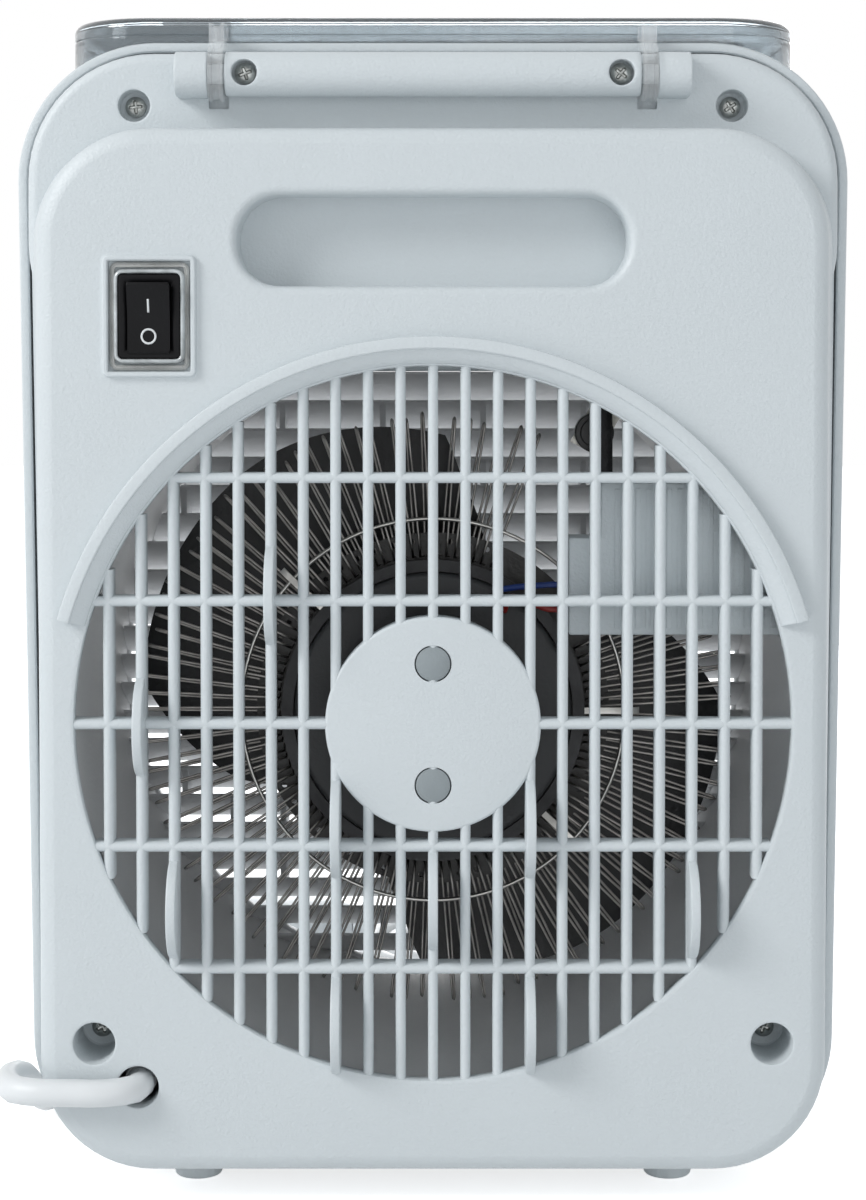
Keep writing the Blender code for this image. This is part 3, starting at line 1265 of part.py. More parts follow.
def make_switch():
    front = REAR - BEZEL_REACH
    seat = REAR + SWITCH_SEAT - GAP
    hole_x, hole_z = BEZEL[0] / 2 - BEZEL_LIP, BEZEL[1] / 2 - BEZEL_LIP
    body = piece("switch_body", lambda shape: block(
        shape, BEZEL[0] / 2, BEZEL[1] / 2, front, seat), black_plastic())
    join(body, tool("switch case", lambda shape: block(
        shape, hole_x - GAP, hole_z - GAP, seat - 0.5 * MM, REAR + SWITCH_DEPTH)))
    room_x = ROCKER[0] / 2 + GAP
    cut(body, tool("bezel opening", lambda shape: block(
        shape, room_x, ROCKER[1] / 2 + RUNNING_GAP, front - 1 * MM, seat - 0.1 * MM)))
    cut(body, tool("rocker room", lambda shape: block(
        shape, room_x, hole_z - GAP - SWITCH_WALL, front - 1 * MM, REAR + ROCKER_WELL)))
    tilt = Matrix.Rotation(math.radians(ROCKER_TILT), 3, "X")
    half_z = ROCKER[1] / 2
    side = [(-ROCKER_REACH, half_z), (-ROCKER_REACH * 0.55, 0), (-ROCKER_REACH, -half_z),
            (4.5 * MM, -half_z * 0.72), (5.5 * MM, 0), (4.5 * MM, half_z * 0.72)]
    piece("switch_rocker", lambda shape: loft(shape, [
        [tilt @ Vector((x, y, z)) for y, z in side] for x in (-ROCKER[0] / 2, ROCKER[0] / 2)]),
        black_plastic(), (SWITCH_X, ROCKER_Y, SWITCH_Z))
    boot = piece("switch_boot", lambda shape: block(
        shape, SWITCH_FRAME[0] / 2 - SWITCH_FRAME_WALL - GAP,
        SWITCH_FRAME[1] / 2 - SWITCH_FRAME_WALL - GAP, REAR - 0.9 * MM, seat), clear_plastic())
    cut(boot, tool("boot opening", lambda shape: block(
        shape, BEZEL[0] / 2 + GAP, BEZEL[1] / 2 + GAP, REAR - 2 * MM, seat + 1 * MM)))
    start = REAR + SWITCH_DEPTH + GAP
    for name, shift in (("switch_terminal_lower", -5 * MM), ("switch_terminal_upper", 5 * MM)):
        piece(name, lambda shape: box(
            shape, (-2.4 * MM, 0, -0.4 * MM), (2.4 * MM, 8 * MM, 0.4 * MM)),
            steel(), (SWITCH_X, start, SWITCH_Z + shift))


# Cord, coil and plug

def cord_route():
    """From the gland out of its hole, left across the rear, round the side and forwards."""
    depths = [
        (CORD_X, GLAND_DEPTH - GAP, CORD_Z), (CORD_X, 5.2 * MM, CORD_Z),
        (CORD_X + 0.4 * MM, 2.5 * MM, CORD_Z),
        (CORD_X - 1.5 * MM, -2.3 * MM, CORD_Z), (CORD_X - 8.6 * MM, -5 * MM, CORD_Z),
        (-90 * MM, -4.6 * MM, CORD_Z), (-97 * MM, -4.3 * MM, CORD_Z),
        (-103.8 * MM, -1.5 * MM, CORD_Z), (-106.6 * MM, 5 * MM, CORD_Z),
        (-106.6 * MM, 16 * MM, 29 * MM), (-106.6 * MM, 32 * MM, 24 * MM),
        (-106.8 * MM, 52 * MM, 14 * MM), (-107 * MM, 74 * MM, 5.5 * MM),
        (-106 * MM, 98 * MM, 3.6 * MM), (-100 * MM, 124 * MM, 3.6 * MM),
        (-84 * MM, 150 * MM, 3.6 * MM), (-58 * MM, 168 * MM, 3.6 * MM),
        (-28 * MM, 175.6 * MM, 3.6 * MM)]
    route = [(x, REAR + depth, z) for x, depth, z in depths]
    start = coil_points()[0]
    run = 2 * CORD_RADIUS
    route.append((start[0] - GAP - run, start[1], start[2]))
    route.append((start[0] - GAP, start[1], start[2]))
    return route


def coil_points():
    """Two layers: in to the middle, up a layer over half a turn, and out again."""
    turns = COIL_TURNS_A_LAYER
    outer = COIL_RADIUS + COIL_PITCH * turns / 2
    inner = outer - COIL_PITCH * turns
    low = CORD_RADIUS + 0.1 * MM
    total = 2 * turns + 0.5
    steps = round(total * 17)
    points = []
    for step in range(steps + 1):
        turn = total * step / steps
        climb = min(1.0, max(0.0, (turn - turns) / 0.5))
        radius = inner
        if turn < turns:
            radius = outer - COIL_PITCH * turn
        if turn > turns + 0.5:
            radius = inner + COIL_PITCH * (turn - turns - 0.5)
        angle = 2 * math.pi * (turn - 0.25)
        points.append((COIL_CENTRE[0] + radius * math.cos(angle),
                       COIL_CENTRE[1] + radius * math.sin(angle),
                       low + COIL_PITCH * 0.5 * (1 - math.cos(math.pi * climb))))
    run = 2 * CORD_RADIUS
    first, last = points[0], points[-1]
    return ([(first[0] - run, first[1], first[2])] + points
            + [(last[0] - run, last[1], last[2])])


def make_cord():
    gland = piece("cord_gland", lambda shape: rod(
        shape, "Y", (CORD_X, REAR + GLAND_DEPTH, CORD_Z), GLAND_LENGTH, CORD_HOLE - GAP),
        grey_plastic())
    cut(gland, tool("gland bore", lambda shape: rod(
        shape, "Y", (CORD_X, REAR + GLAND_DEPTH + 2 * MM, CORD_Z), GLAND_LENGTH,
        CORD_HOLE - 2 * MM, sides=16)))
    tube("power_cord", smooth_route(cord_route(), 5.6 * MM), CORD_RADIUS, white_cord(),
         resolution=1)
    coil = coil_points()
    tube("cord_coil", coil, CORD_RADIUS, white_cord(), resolution=1)
    print("cord_coil least gap mm", round(least_gap(coil, CORD_RADIUS, 12) / MM, 2))
    end = Vector(coil[-1])
    plug_x = end.x - TAIL_LENGTH
    middle = PLUG_HEIGHT / 2 + 0.2 * MM
    run = 2 * CORD_RADIUS
    tail = [(end.x - GAP, end.y, end.z), (end.x - GAP - run, end.y, end.z),
            (plug_x + GAP + run, end.y, middle), (plug_x + GAP, end.y, middle)]
    tube("cord_tail", smooth_route(tail, 7 * MM), CORD_RADIUS, white_cord())
    half_y, half_z = PLUG_WIDTH / 2, PLUG_HEIGHT / 2

    def plug(shape):
        sections = [(0, 5 * MM, 5 * MM), (-12 * MM, 6 * MM, 6 * MM), (-16 * MM, half_y * 0.8, half_z * 0.9),
                    (-22 * MM, half_y, half_z), (-PLUG_LENGTH, half_y, half_z)]
        loft(shape, [[(x, y, z) for y, z in rounded(
            2 * wide, -high, high, high * 0.6, high * 0.6, steps=4)] for x, wide, high in sections])

    piece("plug_body", plug, white_cord(), (plug_x, end.y, middle))
    for name, side in (("plug_pin_near", -1), ("plug_pin_far", 1)):
        piece(name, lambda shape: rod(
            shape, "X", (-PIN_LENGTH, 0, 0), PIN_LENGTH, PIN_RADIUS, sides=16),
            steel(), (plug_x - PLUG_LENGTH - GAP, end.y + side * PIN_SPACING / 2, middle))


def main():
    clear_scene()
    make_rear_shell()
    make_front_shell()
    make_front_grille()
    make_air_duct()
    make_housing_screws()
    make_motor_screws()
    make_feet()
    make_motor()
    make_fan()
    make_element()
    make_control_box()
    make_wiring()
    make_deck()
    make_lid()
    make_hinge()
    make_switch()
    make_cord()


main()
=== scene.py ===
import math

import bmesh
import bpy
import numpy as np
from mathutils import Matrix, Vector
from mathutils.geometry import delaunay_2d_cdt


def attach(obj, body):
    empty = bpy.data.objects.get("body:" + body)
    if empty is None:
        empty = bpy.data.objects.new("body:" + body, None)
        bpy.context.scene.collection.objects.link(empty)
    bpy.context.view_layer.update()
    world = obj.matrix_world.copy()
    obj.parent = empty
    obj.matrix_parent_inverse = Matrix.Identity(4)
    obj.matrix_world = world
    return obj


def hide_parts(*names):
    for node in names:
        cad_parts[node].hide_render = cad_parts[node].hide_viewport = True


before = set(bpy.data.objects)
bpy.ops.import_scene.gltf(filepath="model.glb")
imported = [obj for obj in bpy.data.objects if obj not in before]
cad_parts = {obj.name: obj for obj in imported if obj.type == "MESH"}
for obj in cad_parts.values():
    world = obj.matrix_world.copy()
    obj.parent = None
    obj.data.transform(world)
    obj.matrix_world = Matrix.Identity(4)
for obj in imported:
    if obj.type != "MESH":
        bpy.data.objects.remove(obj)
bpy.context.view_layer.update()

# The heater is seen from straight behind and very slightly from above, 0.61 m from its
# rear panel. Sizes in this file are in millimetres, and REAR is the Y of that panel,
# so a depth is measured forwards from it.
MM = 0.001
REAR = -59.5
CAMERA_DISTANCE = 610
CAMERA_HEIGHT = 212.4
CAMERA_TILT = 2.04
FILM_HEIGHT = 24
PHOTO_HEIGHT, FOCAL_LENGTH = 1200, 2482
camera_data = bpy.data.cameras.new("behind")
camera_data.sensor_fit = "VERTICAL"
camera_data.sensor_height = FILM_HEIGHT
camera_data.lens = FILM_HEIGHT * FOCAL_LENGTH / PHOTO_HEIGHT
camera_data.shift_y = -0.1315
camera_data.clip_start = 0.01
camera = bpy.data.objects.new("behind", camera_data)
camera.location = (0, (REAR - CAMERA_DISTANCE) * MM, CAMERA_HEIGHT * MM)
camera.rotation_euler = (math.radians(90 - CAMERA_TILT), 0, 0)
bpy.context.scene.collection.objects.link(camera)
bpy.context.scene.camera = camera


# The heater stands on a plain white table in a plain white room. The table and the
# room look white to the camera and in reflections, and the table keeps the shadow.
def material(name, colour, roughness, metallic=0.0):
    """A Principled material, with its node tree and shader for more to be added."""
    made = bpy.data.materials.new(name)
    made.use_nodes = True
    tree = made.node_tree
    shader = tree.nodes["Principled BSDF"]
    shader.inputs["Base Color"].default_value = (*colour, 1)
    shader.inputs["Roughness"].default_value = roughness
    shader.inputs["Metallic"].default_value = metallic
    return made, tree, shader


def seen_directly(tree):
    """1 for camera, glossy and transmission rays, and 0 for the light itself."""
    path = tree.nodes.new("ShaderNodeLightPath")
    total = path.outputs["Is Camera Ray"]
    for kind in ("Is Glossy Ray", "Is Transmission Ray"):
        most = tree.nodes.new("ShaderNodeMath")
        most.operation = "MAXIMUM"
        tree.links.new(total, most.inputs[0])
        tree.links.new(path.outputs[kind], most.inputs[1])
        total = most.outputs[0]
    return total


world = bpy.data.worlds.new("white room")
world.use_nodes = True
bpy.context.scene.world = world
room = world.node_tree
lit = room.nodes["Background"]
lit.inputs["Color"].default_value = (0.93, 0.97, 1.0, 1)
lit.inputs["Strength"].default_value = 0.58
shown = room.nodes.new("ShaderNodeBackground")
shown.inputs["Color"].default_value = (1, 1, 1, 1)
shown.inputs["Strength"].default_value = 1.0
either = room.nodes.new("ShaderNodeMixShader")
room.links.new(seen_directly(room), either.inputs["Fac"])
room.links.new(lit.outputs[0], either.inputs[1])
room.links.new(shown.outputs[0], either.inputs[2])
room.links.new(either.outputs[0], room.nodes["World Output"].inputs["Surface"])

table_mesh = bpy.data.meshes.new("table")
table_mesh.from_pydata([(-4, -4, 0), (4, -4, 0), (4, 4, 0), (-4, 4, 0)], [], [(0, 1, 2, 3)])
table = bpy.data.objects.new("table", table_mesh)
bpy.context.scene.collection.objects.link(table)
table_white, tree, shader = material("table white", (0.8, 0.81, 0.82), 0.7)
glow = tree.nodes.new("ShaderNodeEmission")
glow.inputs["Strength"].default_value = 0.7
dark = tree.nodes.new("ShaderNodeEmission")
dark.inputs["Strength"].default_value = 0
choose = tree.nodes.new("ShaderNodeMixShader")
both = tree.nodes.new("ShaderNodeAddShader")
tree.links.new(seen_directly(tree), choose.inputs["Fac"])
tree.links.new(dark.outputs[0], choose.inputs[1])
tree.links.new(glow.outputs[0], choose.inputs[2])
tree.links.new(choose.outputs[0], both.inputs[0])
tree.links.new(shader.outputs[0], both.inputs[1])
tree.links.new(both.outputs[0], tree.nodes["Material Output"].inputs["Surface"])
table_mesh.materials.append(table_white)


def lamp(name, place, aim, size, power, tint=(1, 1, 1)):
    """A square lamp at a place in metres, turned so that its face looks at the aim."""
    data = bpy.data.lights.new(name, "AREA")
    data.size = size
    data.energy = power
    data.color = tint
    made = bpy.data.objects.new(name, data)
    made.location = place
    made.rotation_euler = (Vector(aim) - Vector(place)).to_track_quat("-Z", "Y").to_euler()
    bpy.context.scene.collection.objects.link(made)


lamp("window", (-1.45, -0.9, 1.15), (0, 0, 0.14), 0.7, 21)
lamp("fill", (0.55, -1.85, 0.26), (0, 0, 0.16), 1.1, 4.2, (0.96, 0.98, 1))
lamp("front light", (0.15, 1.1, 0.3), (0, 0, 0.1), 0.6, 4.5)
bpy.context.scene.view_settings.view_transform = "Standard"

# The mains cord: a round white lead that leaves its hole low on the left, runs level
# to the left, goes round the side to the front and ends in a neat coil with its plug.
# It is 1.645 m long, of 6.9 mm sheath in soft smooth plastic.
CORD_RADIUS = 3.45
CORD_RISE = 30.4
COIL_CENTRE = (20, 165)
COIL_RADIUS = 38
COIL_PITCH = 8.6
COIL_LAYER_TURNS = 2.5
TAIL, STRAIGHT, PLUG_MIDDLE = 42, 3 * CORD_RADIUS, 9.7


def through(points, spacing):
    """Even steps of given length along the Catmull-Rom curve through the points."""
    spots = np.array(points, float)
    ends = np.vstack([2 * spots[0] - spots[1], spots, 2 * spots[-1] - spots[-2]])
    t = np.linspace(0, 1, 24, endpoint=False)[:, None]
    a, b, c, d = (ends[k:len(ends) - 3 + k, None] for k in range(4))
    curve = 0.5 * (2 * b + (c - a) * t + (2 * a - 5 * b + 4 * c - d) * t ** 2
                   + (3 * b - a - 3 * c + d) * t ** 3)
    curve = np.vstack([curve.reshape(-1, spots.shape[1]), spots[-1]])
    run = np.r_[0, np.linalg.norm(np.diff(curve, axis=0), axis=1).cumsum()]
    steps = np.linspace(0, run[-1], max(2, round(run[-1] / spacing)) + 1)
    return np.stack([np.interp(steps, run, curve[:, k]) for k in range(spots.shape[1])], 1)


def coil_line():
    """Spiral in for 2.5 turns, half a turn up a layer, and spiral out on top."""
    outer = COIL_RADIUS + COIL_PITCH * COIL_LAYER_TURNS / 2
    total = 2 * COIL_LAYER_TURNS + 0.5
    turn = np.linspace(0, total, round(total * 40) + 1)
    wound = np.minimum(turn, COIL_LAYER_TURNS)
    unwound = np.maximum(turn - COIL_LAYER_TURNS - 0.5, 0)
    radius = outer - COIL_PITCH * (wound - unwound)
    climb = np.clip((turn - COIL_LAYER_TURNS) / 0.5, 0, 1)
    angle = 2 * np.pi * (turn - 0.25)
    return np.stack([COIL_CENTRE[0] + radius * np.cos(angle),
                     COIL_CENTRE[1] + radius * np.sin(angle),
                     CORD_RADIUS + 0.1 + COIL_PITCH * 0.5 * (1 - np.cos(np.pi * climb))], 1)


coil = coil_line()
lead = np.array([
    (-73.3, 10.7, 30.4), (-73.3, 5.2, 30.4), (-72.9, 2.5, 30.4), (-74.8, -2.3, 30.4),
    (-81.9, -5, 30.4), (-90, -4.6, 30.4), (-97, -4.3, 30.4), (-103.8, -1.5, 30.4),
    (-106.6, 5, 30.4), (-106.6, 16, 29), (-106.6, 32, 24), (-106.8, 52, 14),
    (-107, 74, 5.5), (-106, 98, 3.6), (-100, 124, 3.6), (-84, 150, 3.6), (-58, 168, 3.6),
    (-28, 175.6, 3.6)]) + (0, REAR, 0)
lead = np.vstack([lead, coil[0] - (STRAIGHT, 0, 0)])
plug_end = coil[-1] - (TAIL + 2 * CORD_RADIUS, 0, 0)
tail = np.array([coil[-1] - (STRAIGHT, 0, 0),
                 (plug_end[0] + 12, plug_end[1], PLUG_MIDDLE),
                 (plug_end[0] + 0.3, plug_end[1], PLUG_MIDDLE)])
cord_line = np.vstack([through(lead, 4)[:-1], through(np.vstack([lead[-1], coil[:2]]), 4)[1:-1],
                       coil[1:-1], through(np.vstack([coil[-2:], tail]), 4)[1:]])
cord_data = bpy.data.curves.new("mains_cord", "CURVE")
cord_data.dimensions = "3D"
cord_data.bevel_depth = CORD_RADIUS * MM
cord_data.bevel_resolution = 4
cord_data.use_fill_caps = True
spline = cord_data.splines.new("POLY")
spline.points.add(len(cord_line) - 1)
spline.points.foreach_set("co", np.c_[cord_line * MM, np.ones(len(cord_line))].ravel())
mains_cord = bpy.data.objects.new("mains_cord", cord_data)
bpy.context.scene.collection.objects.link(mains_cord)


def speckle(tree, scale, low, high):
    """Noise on object coordinates, in cells per metre, spread between two values."""
    coordinates = tree.nodes.new("ShaderNodeTexCoord")
    noise = tree.nodes.new("ShaderNodeTexNoise")
    noise.inputs["Scale"].default_value = scale
    noise.inputs["Detail"].default_value = 3
    spread = tree.nodes.new("ShaderNodeMapRange")
    spread.inputs["From Min"].default_value = 0.3
    spread.inputs["From Max"].default_value = 0.7
    spread.inputs["To Min"].default_value = low
    spread.inputs["To Max"].default_value = high
    tree.links.new(coordinates.outputs["Object"], noise.inputs["Vector"])
    tree.links.new(noise.outputs["Fac"], spread.inputs["Value"])
    return spread.outputs["Result"]


def relief(tree, shader, height, depth):
    """Bump from a height value, as deep as the given number of metres."""
    bump = tree.nodes.new("ShaderNodeBump")
    bump.inputs["Distance"].default_value = depth
    tree.links.new(height, bump.inputs["Height"])
    tree.links.new(bump.outputs["Normal"], shader.inputs["Normal"])


def mottle(tree, shader, colour, scale, darkest):
    """Base colour that drifts between the colour and a darker one."""
    mix = tree.nodes.new("ShaderNodeMix")
    mix.data_type = "RGBA"
    mix.inputs["A"].default_value = (*[part * darkest for part in colour], 1)
    mix.inputs["B"].default_value = (*colour, 1)
    tree.links.new(speckle(tree, scale, 0, 1), mix.inputs["Factor"])
    tree.links.new(mix.outputs["Result"], shader.inputs["Base Color"])


def finish(name, colour, roughness, drift, grain=None, metallic=0.0, more=None):
    """A material of drifting colour (scale, darkest share) and grain (scale, depth in metres)."""
    made, tree, shader = material(name, colour, roughness, metallic)
    mottle(tree, shader, colour, *drift)
    if grain:
        relief(tree, shader, speckle(tree, grain[0], 0, 1), grain[1])
    for socket, value in (more or {}).items():
        shader.inputs[socket].default_value = value
    return made


cord_white = finish("white cord sheath", (0.76, 0.78, 0.79), 0.42, (60, 0.93), (500, 0.00003))
cord_data.materials.append(cord_white)
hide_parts("power_cord", "cord_coil", "cord_tail")
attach(mains_cord, "base")

# The rear shell's flat panel, moulded in one with its handle pocket, screw wells and
# switch seat. It is white plastic with a fine grain, 2.5 mm thick, and its edges are
# rounded where the tool was polished. The panel stands 14 mm proud of the ledge.
PANEL_WIDTH, PANEL_LOW, PANEL_HIGH, PANEL_CORNER = 195.6, 8.9, 268.0, 28.0
GRILLE_Z, GRILLE_RADIUS = 120.8, 88.6
HANDLE_Z, HANDLE_WIDTH, HANDLE_HEIGHT, HANDLE_DEPTH = 240.2, 96.5, 22.4, 24.2
SWITCH_X, SWITCH_Z, SWITCH_WIDTH, SWITCH_HEIGHT = -69.6, 221.6, 23.0, 29.9
SWITCH_CUTOUT = (13, 212.3, 230.9)
LOW_SCREW_X, LOW_SCREW_Z, LOW_BORE_RADIUS = 84.1, 41.3, 1.7
LOW_WELL_RADIUS, LOW_WELL_DEPTH = 5.2, 17.5
CORD_X, CORD_HOLE, HOLE_EDGE = -73.3, 5.2, 6.0


def rounded(width, low, high, corner_low, corner_high=None, width_low=None, steps=14, x=0):
    """A rounded rectangle as X and Z, turning left: four arcs joined by straight sides."""
    corner_high = corner_low if corner_high is None else corner_high
    half, half_low = width / 2, (width_low or width) / 2
    middles = np.array([(half_low - corner_low, low + corner_low),
                        (half - corner_high, high - corner_high),
                        (corner_high - half, high - corner_high),
                        (corner_low - half_low, low + corner_low)])
    radii = np.array([corner_low, corner_high, corner_high, corner_low])[:, None, None]
    angle = np.radians(np.array([-90, 0, 90, 180])[:, None] + np.linspace(0, 90, steps + 1))
    arcs = middles[:, None] + radii * np.stack([np.cos(angle), np.sin(angle)], -1)
    return arcs.reshape(-1, 2) + (x, 0)


def circle(x, z, radius, sides=64):
    """A circle as X and Z, turning left."""
    angle = 2 * np.pi * np.arange(sides) / sides
    return np.stack([x + radius * np.cos(angle), z + radius * np.sin(angle)], 1)


def quarter(radius, steps=5):
    """Inset and drop along a quarter round, from the face to the side."""
    angle = np.linspace(0, np.pi / 2, steps + 1)
    return [(radius * (1 - math.sin(a)), radius * (1 - math.cos(a))) for a in angle]


def quads(rows, columns, around_rows=False, around_columns=True, flip=False):
    """The four-sided faces between the points of a grid."""
    row = np.arange(rows if around_rows else rows - 1)[:, None]
    column = np.arange(columns if around_columns else columns - 1)[None]
    next_row, next_column = (row + 1) % rows, (column + 1) % columns
    faces = np.stack([row * columns + column, next_row * columns + column,
                      next_row * columns + next_column, row * columns + next_column], -1)
    faces = faces.reshape(-1, 4)
    return (faces[:, ::-1] if flip else faces).tolist()


def ends(rows, columns):
    """One face over a grid's first row and one over its last, both turned outwards."""
    last = (rows - 1) * columns
    return [list(range(columns)), list(range(last, last + columns))[::-1]]


def carried(outline, profile, flip=False):
    """A profile of growth and Y carried round an outline, outlines being given by growth."""
    rings = [np.insert(outline(grow), 1, y, axis=1) for grow, y in profile]
    points = np.array(rings)
    return points.reshape(-1, 3), quads(len(rings), points.shape[1], flip=flip)


def within(spots, loop):
    """Which points lie inside a loop, by the parity of its crossings to their right."""
    x, z = spots.T[:, :, None]
    one, two = loop, np.roll(loop, 1, axis=0)
    rise = two[:, 1] - one[:, 1] + 1e-12
    right = x < one[:, 0] + (z - one[:, 1]) / rise * (two[:, 0] - one[:, 0])
    return (((one[:, 1] > z) != (two[:, 1] > z)) & right).sum(axis=1) % 2 == 1


def filled(y, *loops, backwards=False, spots=()):
    """A flat face at one Y inside the first loop and outside the others, through any spots."""
    edges, start = [], 0
    for loop in loops:
        ids = np.arange(len(loop)) + start
        edges += np.stack([ids, np.roll(ids, -1)], 1).tolist()
        start += len(loop)
    spots = [Vector(point) for point in [*np.vstack(loops), *spots]]
    flat, _, faces, *_ = delaunay_2d_cdt(spots, edges, [], 1, 1e-6)
    flat, faces = np.array(flat), np.array(faces)
    middles = flat[faces].mean(axis=1)
    for hole in loops[1:]:
        outside = ~within(middles, hole)
        middles, faces = middles[outside], faces[outside]
    return np.insert(flat, 1, y, axis=1), faces[:, ::-1 if backwards else 1].tolist()


def build(name, patches, made_of, body="base", wall=None, sharp=32, closed=False):
    """One mesh from patches of points and faces, welded, with its sharp edges marked."""
    points, faces, start = [], [], 0
    for patch_points, patch_faces in patches:
        points.append(np.asarray(patch_points, float))
        faces += [[corner + start for corner in face] for face in patch_faces]
        start += len(patch_points)
    mesh = bpy.data.meshes.new(name)
    mesh.from_pydata((np.vstack(points) * MM).tolist(), [], faces)
    shape = bmesh.new()
    shape.from_mesh(mesh)
    bmesh.ops.remove_doubles(shape, verts=shape.verts, dist=0.000002)
    bmesh.ops.dissolve_degenerate(shape, edges=shape.edges, dist=0.000001)
    if closed:
        bmesh.ops.recalc_face_normals(shape, faces=shape.faces)
    shape.to_mesh(mesh)
    shape.free()
    mesh.polygons.foreach_set("use_smooth", np.ones(len(mesh.polygons), bool))
    mesh.set_sharp_from_angle(angle=math.radians(sharp))
    made = bpy.data.objects.new(name, mesh)
    bpy.context.scene.collection.objects.link(made)
    mesh.materials.append(made_of)
    if wall:
        thicken = made.modifiers.new("wall", "SOLIDIFY")
        thicken.thickness = wall * MM
        thicken.offset = -1
    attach(made, body)
    return made


shell_white = finish("grained white plastic", (0.605, 0.648, 0.668), 0.44, (35, 0.985),
                     (1300, 0.00006))


def panel_outline(grow):
    """The panel's outline; its sides splay out, most at the top, where they lap the shell."""
    return rounded(PANEL_WIDTH + 2 * max(grow, 3 * grow), PANEL_LOW - min(grow, 0.23 * grow),
                   PANEL_HIGH + min(grow, 0), PANEL_CORNER + min(grow, 0),
                   width_low=PANEL_WIDTH + 2 * grow)


def handle_outline(grow):
    """The carrying pocket's outline: a slot with ends that are almost half rounds."""
    half = HANDLE_HEIGHT / 2
    return rounded(HANDLE_WIDTH + 2 * grow, HANDLE_Z - half - grow, HANDLE_Z + half + grow,
                   half * 0.95 + grow, steps=10)


def switch_outline(grow):
    """The outline of the raised frame round the switch, with small corners."""
    half = SWITCH_HEIGHT / 2
    return rounded(SWITCH_WIDTH + 2 * grow, SWITCH_Z - half - grow, SWITCH_Z + half + grow,
                   max(0.3, 1.6 + grow), steps=4, x=SWITCH_X)


def pocket(round_over, depth):
    """Face, rounded edge, side and floor of a pocket, as growth and Y."""
    profile = [(round_over + 0.3, REAR), (round_over, REAR)]
    profile += [(inset, REAR + drop) for inset, drop in quarter(round_over)[1:]]
    return profile + [(0, REAR + depth - 1), (-0.3, REAR + depth - 0.3), (-1, REAR + depth),
                      (-1.3, REAR + depth)]


def low_well(x):
    """A lower screw's round well: rounded edge, side, flat floor and a small bore in it."""
    floor = REAR + LOW_WELL_DEPTH
    bore = LOW_BORE_RADIUS - LOW_WELL_RADIUS
    return carried(lambda grow: circle(x, LOW_SCREW_Z, LOW_WELL_RADIUS + grow, 40),
                   round_edge + [(0, floor - 0.4), (-0.4, floor), (bore, floor),
                                 (bore, floor + 3)], flip=True)


round_edge = [(0.8, REAR), (0.5, REAR), (0.15, REAR + 0.15), (0, REAR + 0.5)]
face_edge = [(-4.0, REAR + 0.03), (-3.2, REAR + 0.28), (-2.4, REAR + 0.57), (-1.6, REAR + 0.96),
             (-0.95, REAR + 1.45), (-0.45, REAR + 2.1), (-0.12, REAR + 3.0), (0, REAR + 4.0)]
handle_floor = handle_outline(-1.3)
switch_profile = [(0.9, REAR), (0.6, REAR), (0.1, REAR - 0.15), (0, REAR - 0.5),
                  (-0.05, REAR - 1.0), (-0.35, REAR - 1.35), (-0.7, REAR - 1.4),
                  (-1.05, REAR - 1.35), (-1.35, REAR - 1.05), (-1.4, REAR + 0.5),
                  (-1.5, REAR + 0.8)]
grille_edge = [(1.2, REAR), (0.9, REAR), (0.3, REAR + 0.2), (0.05, REAR + 0.7),
               (0, REAR + 3)]
patches = [
    filled(REAR, panel_outline(-4.3), circle(0, GRILLE_Z, GRILLE_RADIUS + 1.2, 160),
           handle_outline(2.3), switch_outline(0.9),
           *[circle(x, z, HOLE_EDGE, 40) for x, z in ((LOW_SCREW_X, LOW_SCREW_Z),
                                                      (-LOW_SCREW_X, LOW_SCREW_Z),
                                                      (CORD_X, CORD_RISE))]),
    carried(panel_outline, [(-4.3, REAR)] + face_edge + [(0.4, REAR + 9), (1.3, REAR + 20),
                                                         (1.3, REAR + 34)]),
    carried(lambda grow: circle(0, GRILLE_Z, GRILLE_RADIUS + grow, 160), grille_edge, flip=True),
    carried(handle_outline, pocket(2.0, HANDLE_DEPTH), flip=True),
    (np.insert(handle_floor, 1, REAR + HANDLE_DEPTH, axis=1), [list(range(len(handle_floor)))]),
    carried(switch_outline, switch_profile, flip=True),
    filled(REAR + 0.8, switch_outline(-1.5),
           rounded(*SWITCH_CUTOUT, 0.4, steps=2, x=SWITCH_X)),
    low_well(LOW_SCREW_X),
    low_well(-LOW_SCREW_X),
    carried(lambda grow: circle(CORD_X, CORD_RISE, CORD_HOLE + grow, 40),
            round_edge + [(0, REAR + 20)], flip=True),
]
rear_panel = build("rear_panel", patches, shell_white, wall=0.6)
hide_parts("rear_shell")

# The ledge over the panel, 14 mm lower, where the hinge sits. It is one moulding with
# the panel. Two shallow wells hold the upper screws, and a slot stands behind each
# hinge arm. Its outline fits inside the front shell's rim.
LEDGE = REAR + 14
HINGE_Y, HINGE_Z = -51.3, 281.7
TOP_SCREW_X, TOP_SCREW_Z, TOP_WELL_RADIUS = 74.9, 274.5, 4.0
LEDGE_WIDTH, LEDGE_LOW, LEDGE_HIGH, LEDGE_CORNER, LEDGE_ROUND = 203.6, 208, 287.7, 31.8, 2.5
SLOT_X, SLOT_WIDTH, SLOT_LOW, SLOT_HIGH, SLOT_DEPTH = 53.6, 5, 273.6, 284.9, 2.2


def ledge_outline(grow):
    """The ledge's outline, a wide band with the housing's big top corners."""
    return rounded(LEDGE_WIDTH + 2 * grow, LEDGE_LOW - grow, LEDGE_HIGH + grow,
                   LEDGE_CORNER + grow)


def ledge_hole(side):
    """An upper screw well's circle on one side, given by growth."""
    return lambda grow: circle(side * TOP_SCREW_X, TOP_SCREW_Z, TOP_WELL_RADIUS + grow, 32)


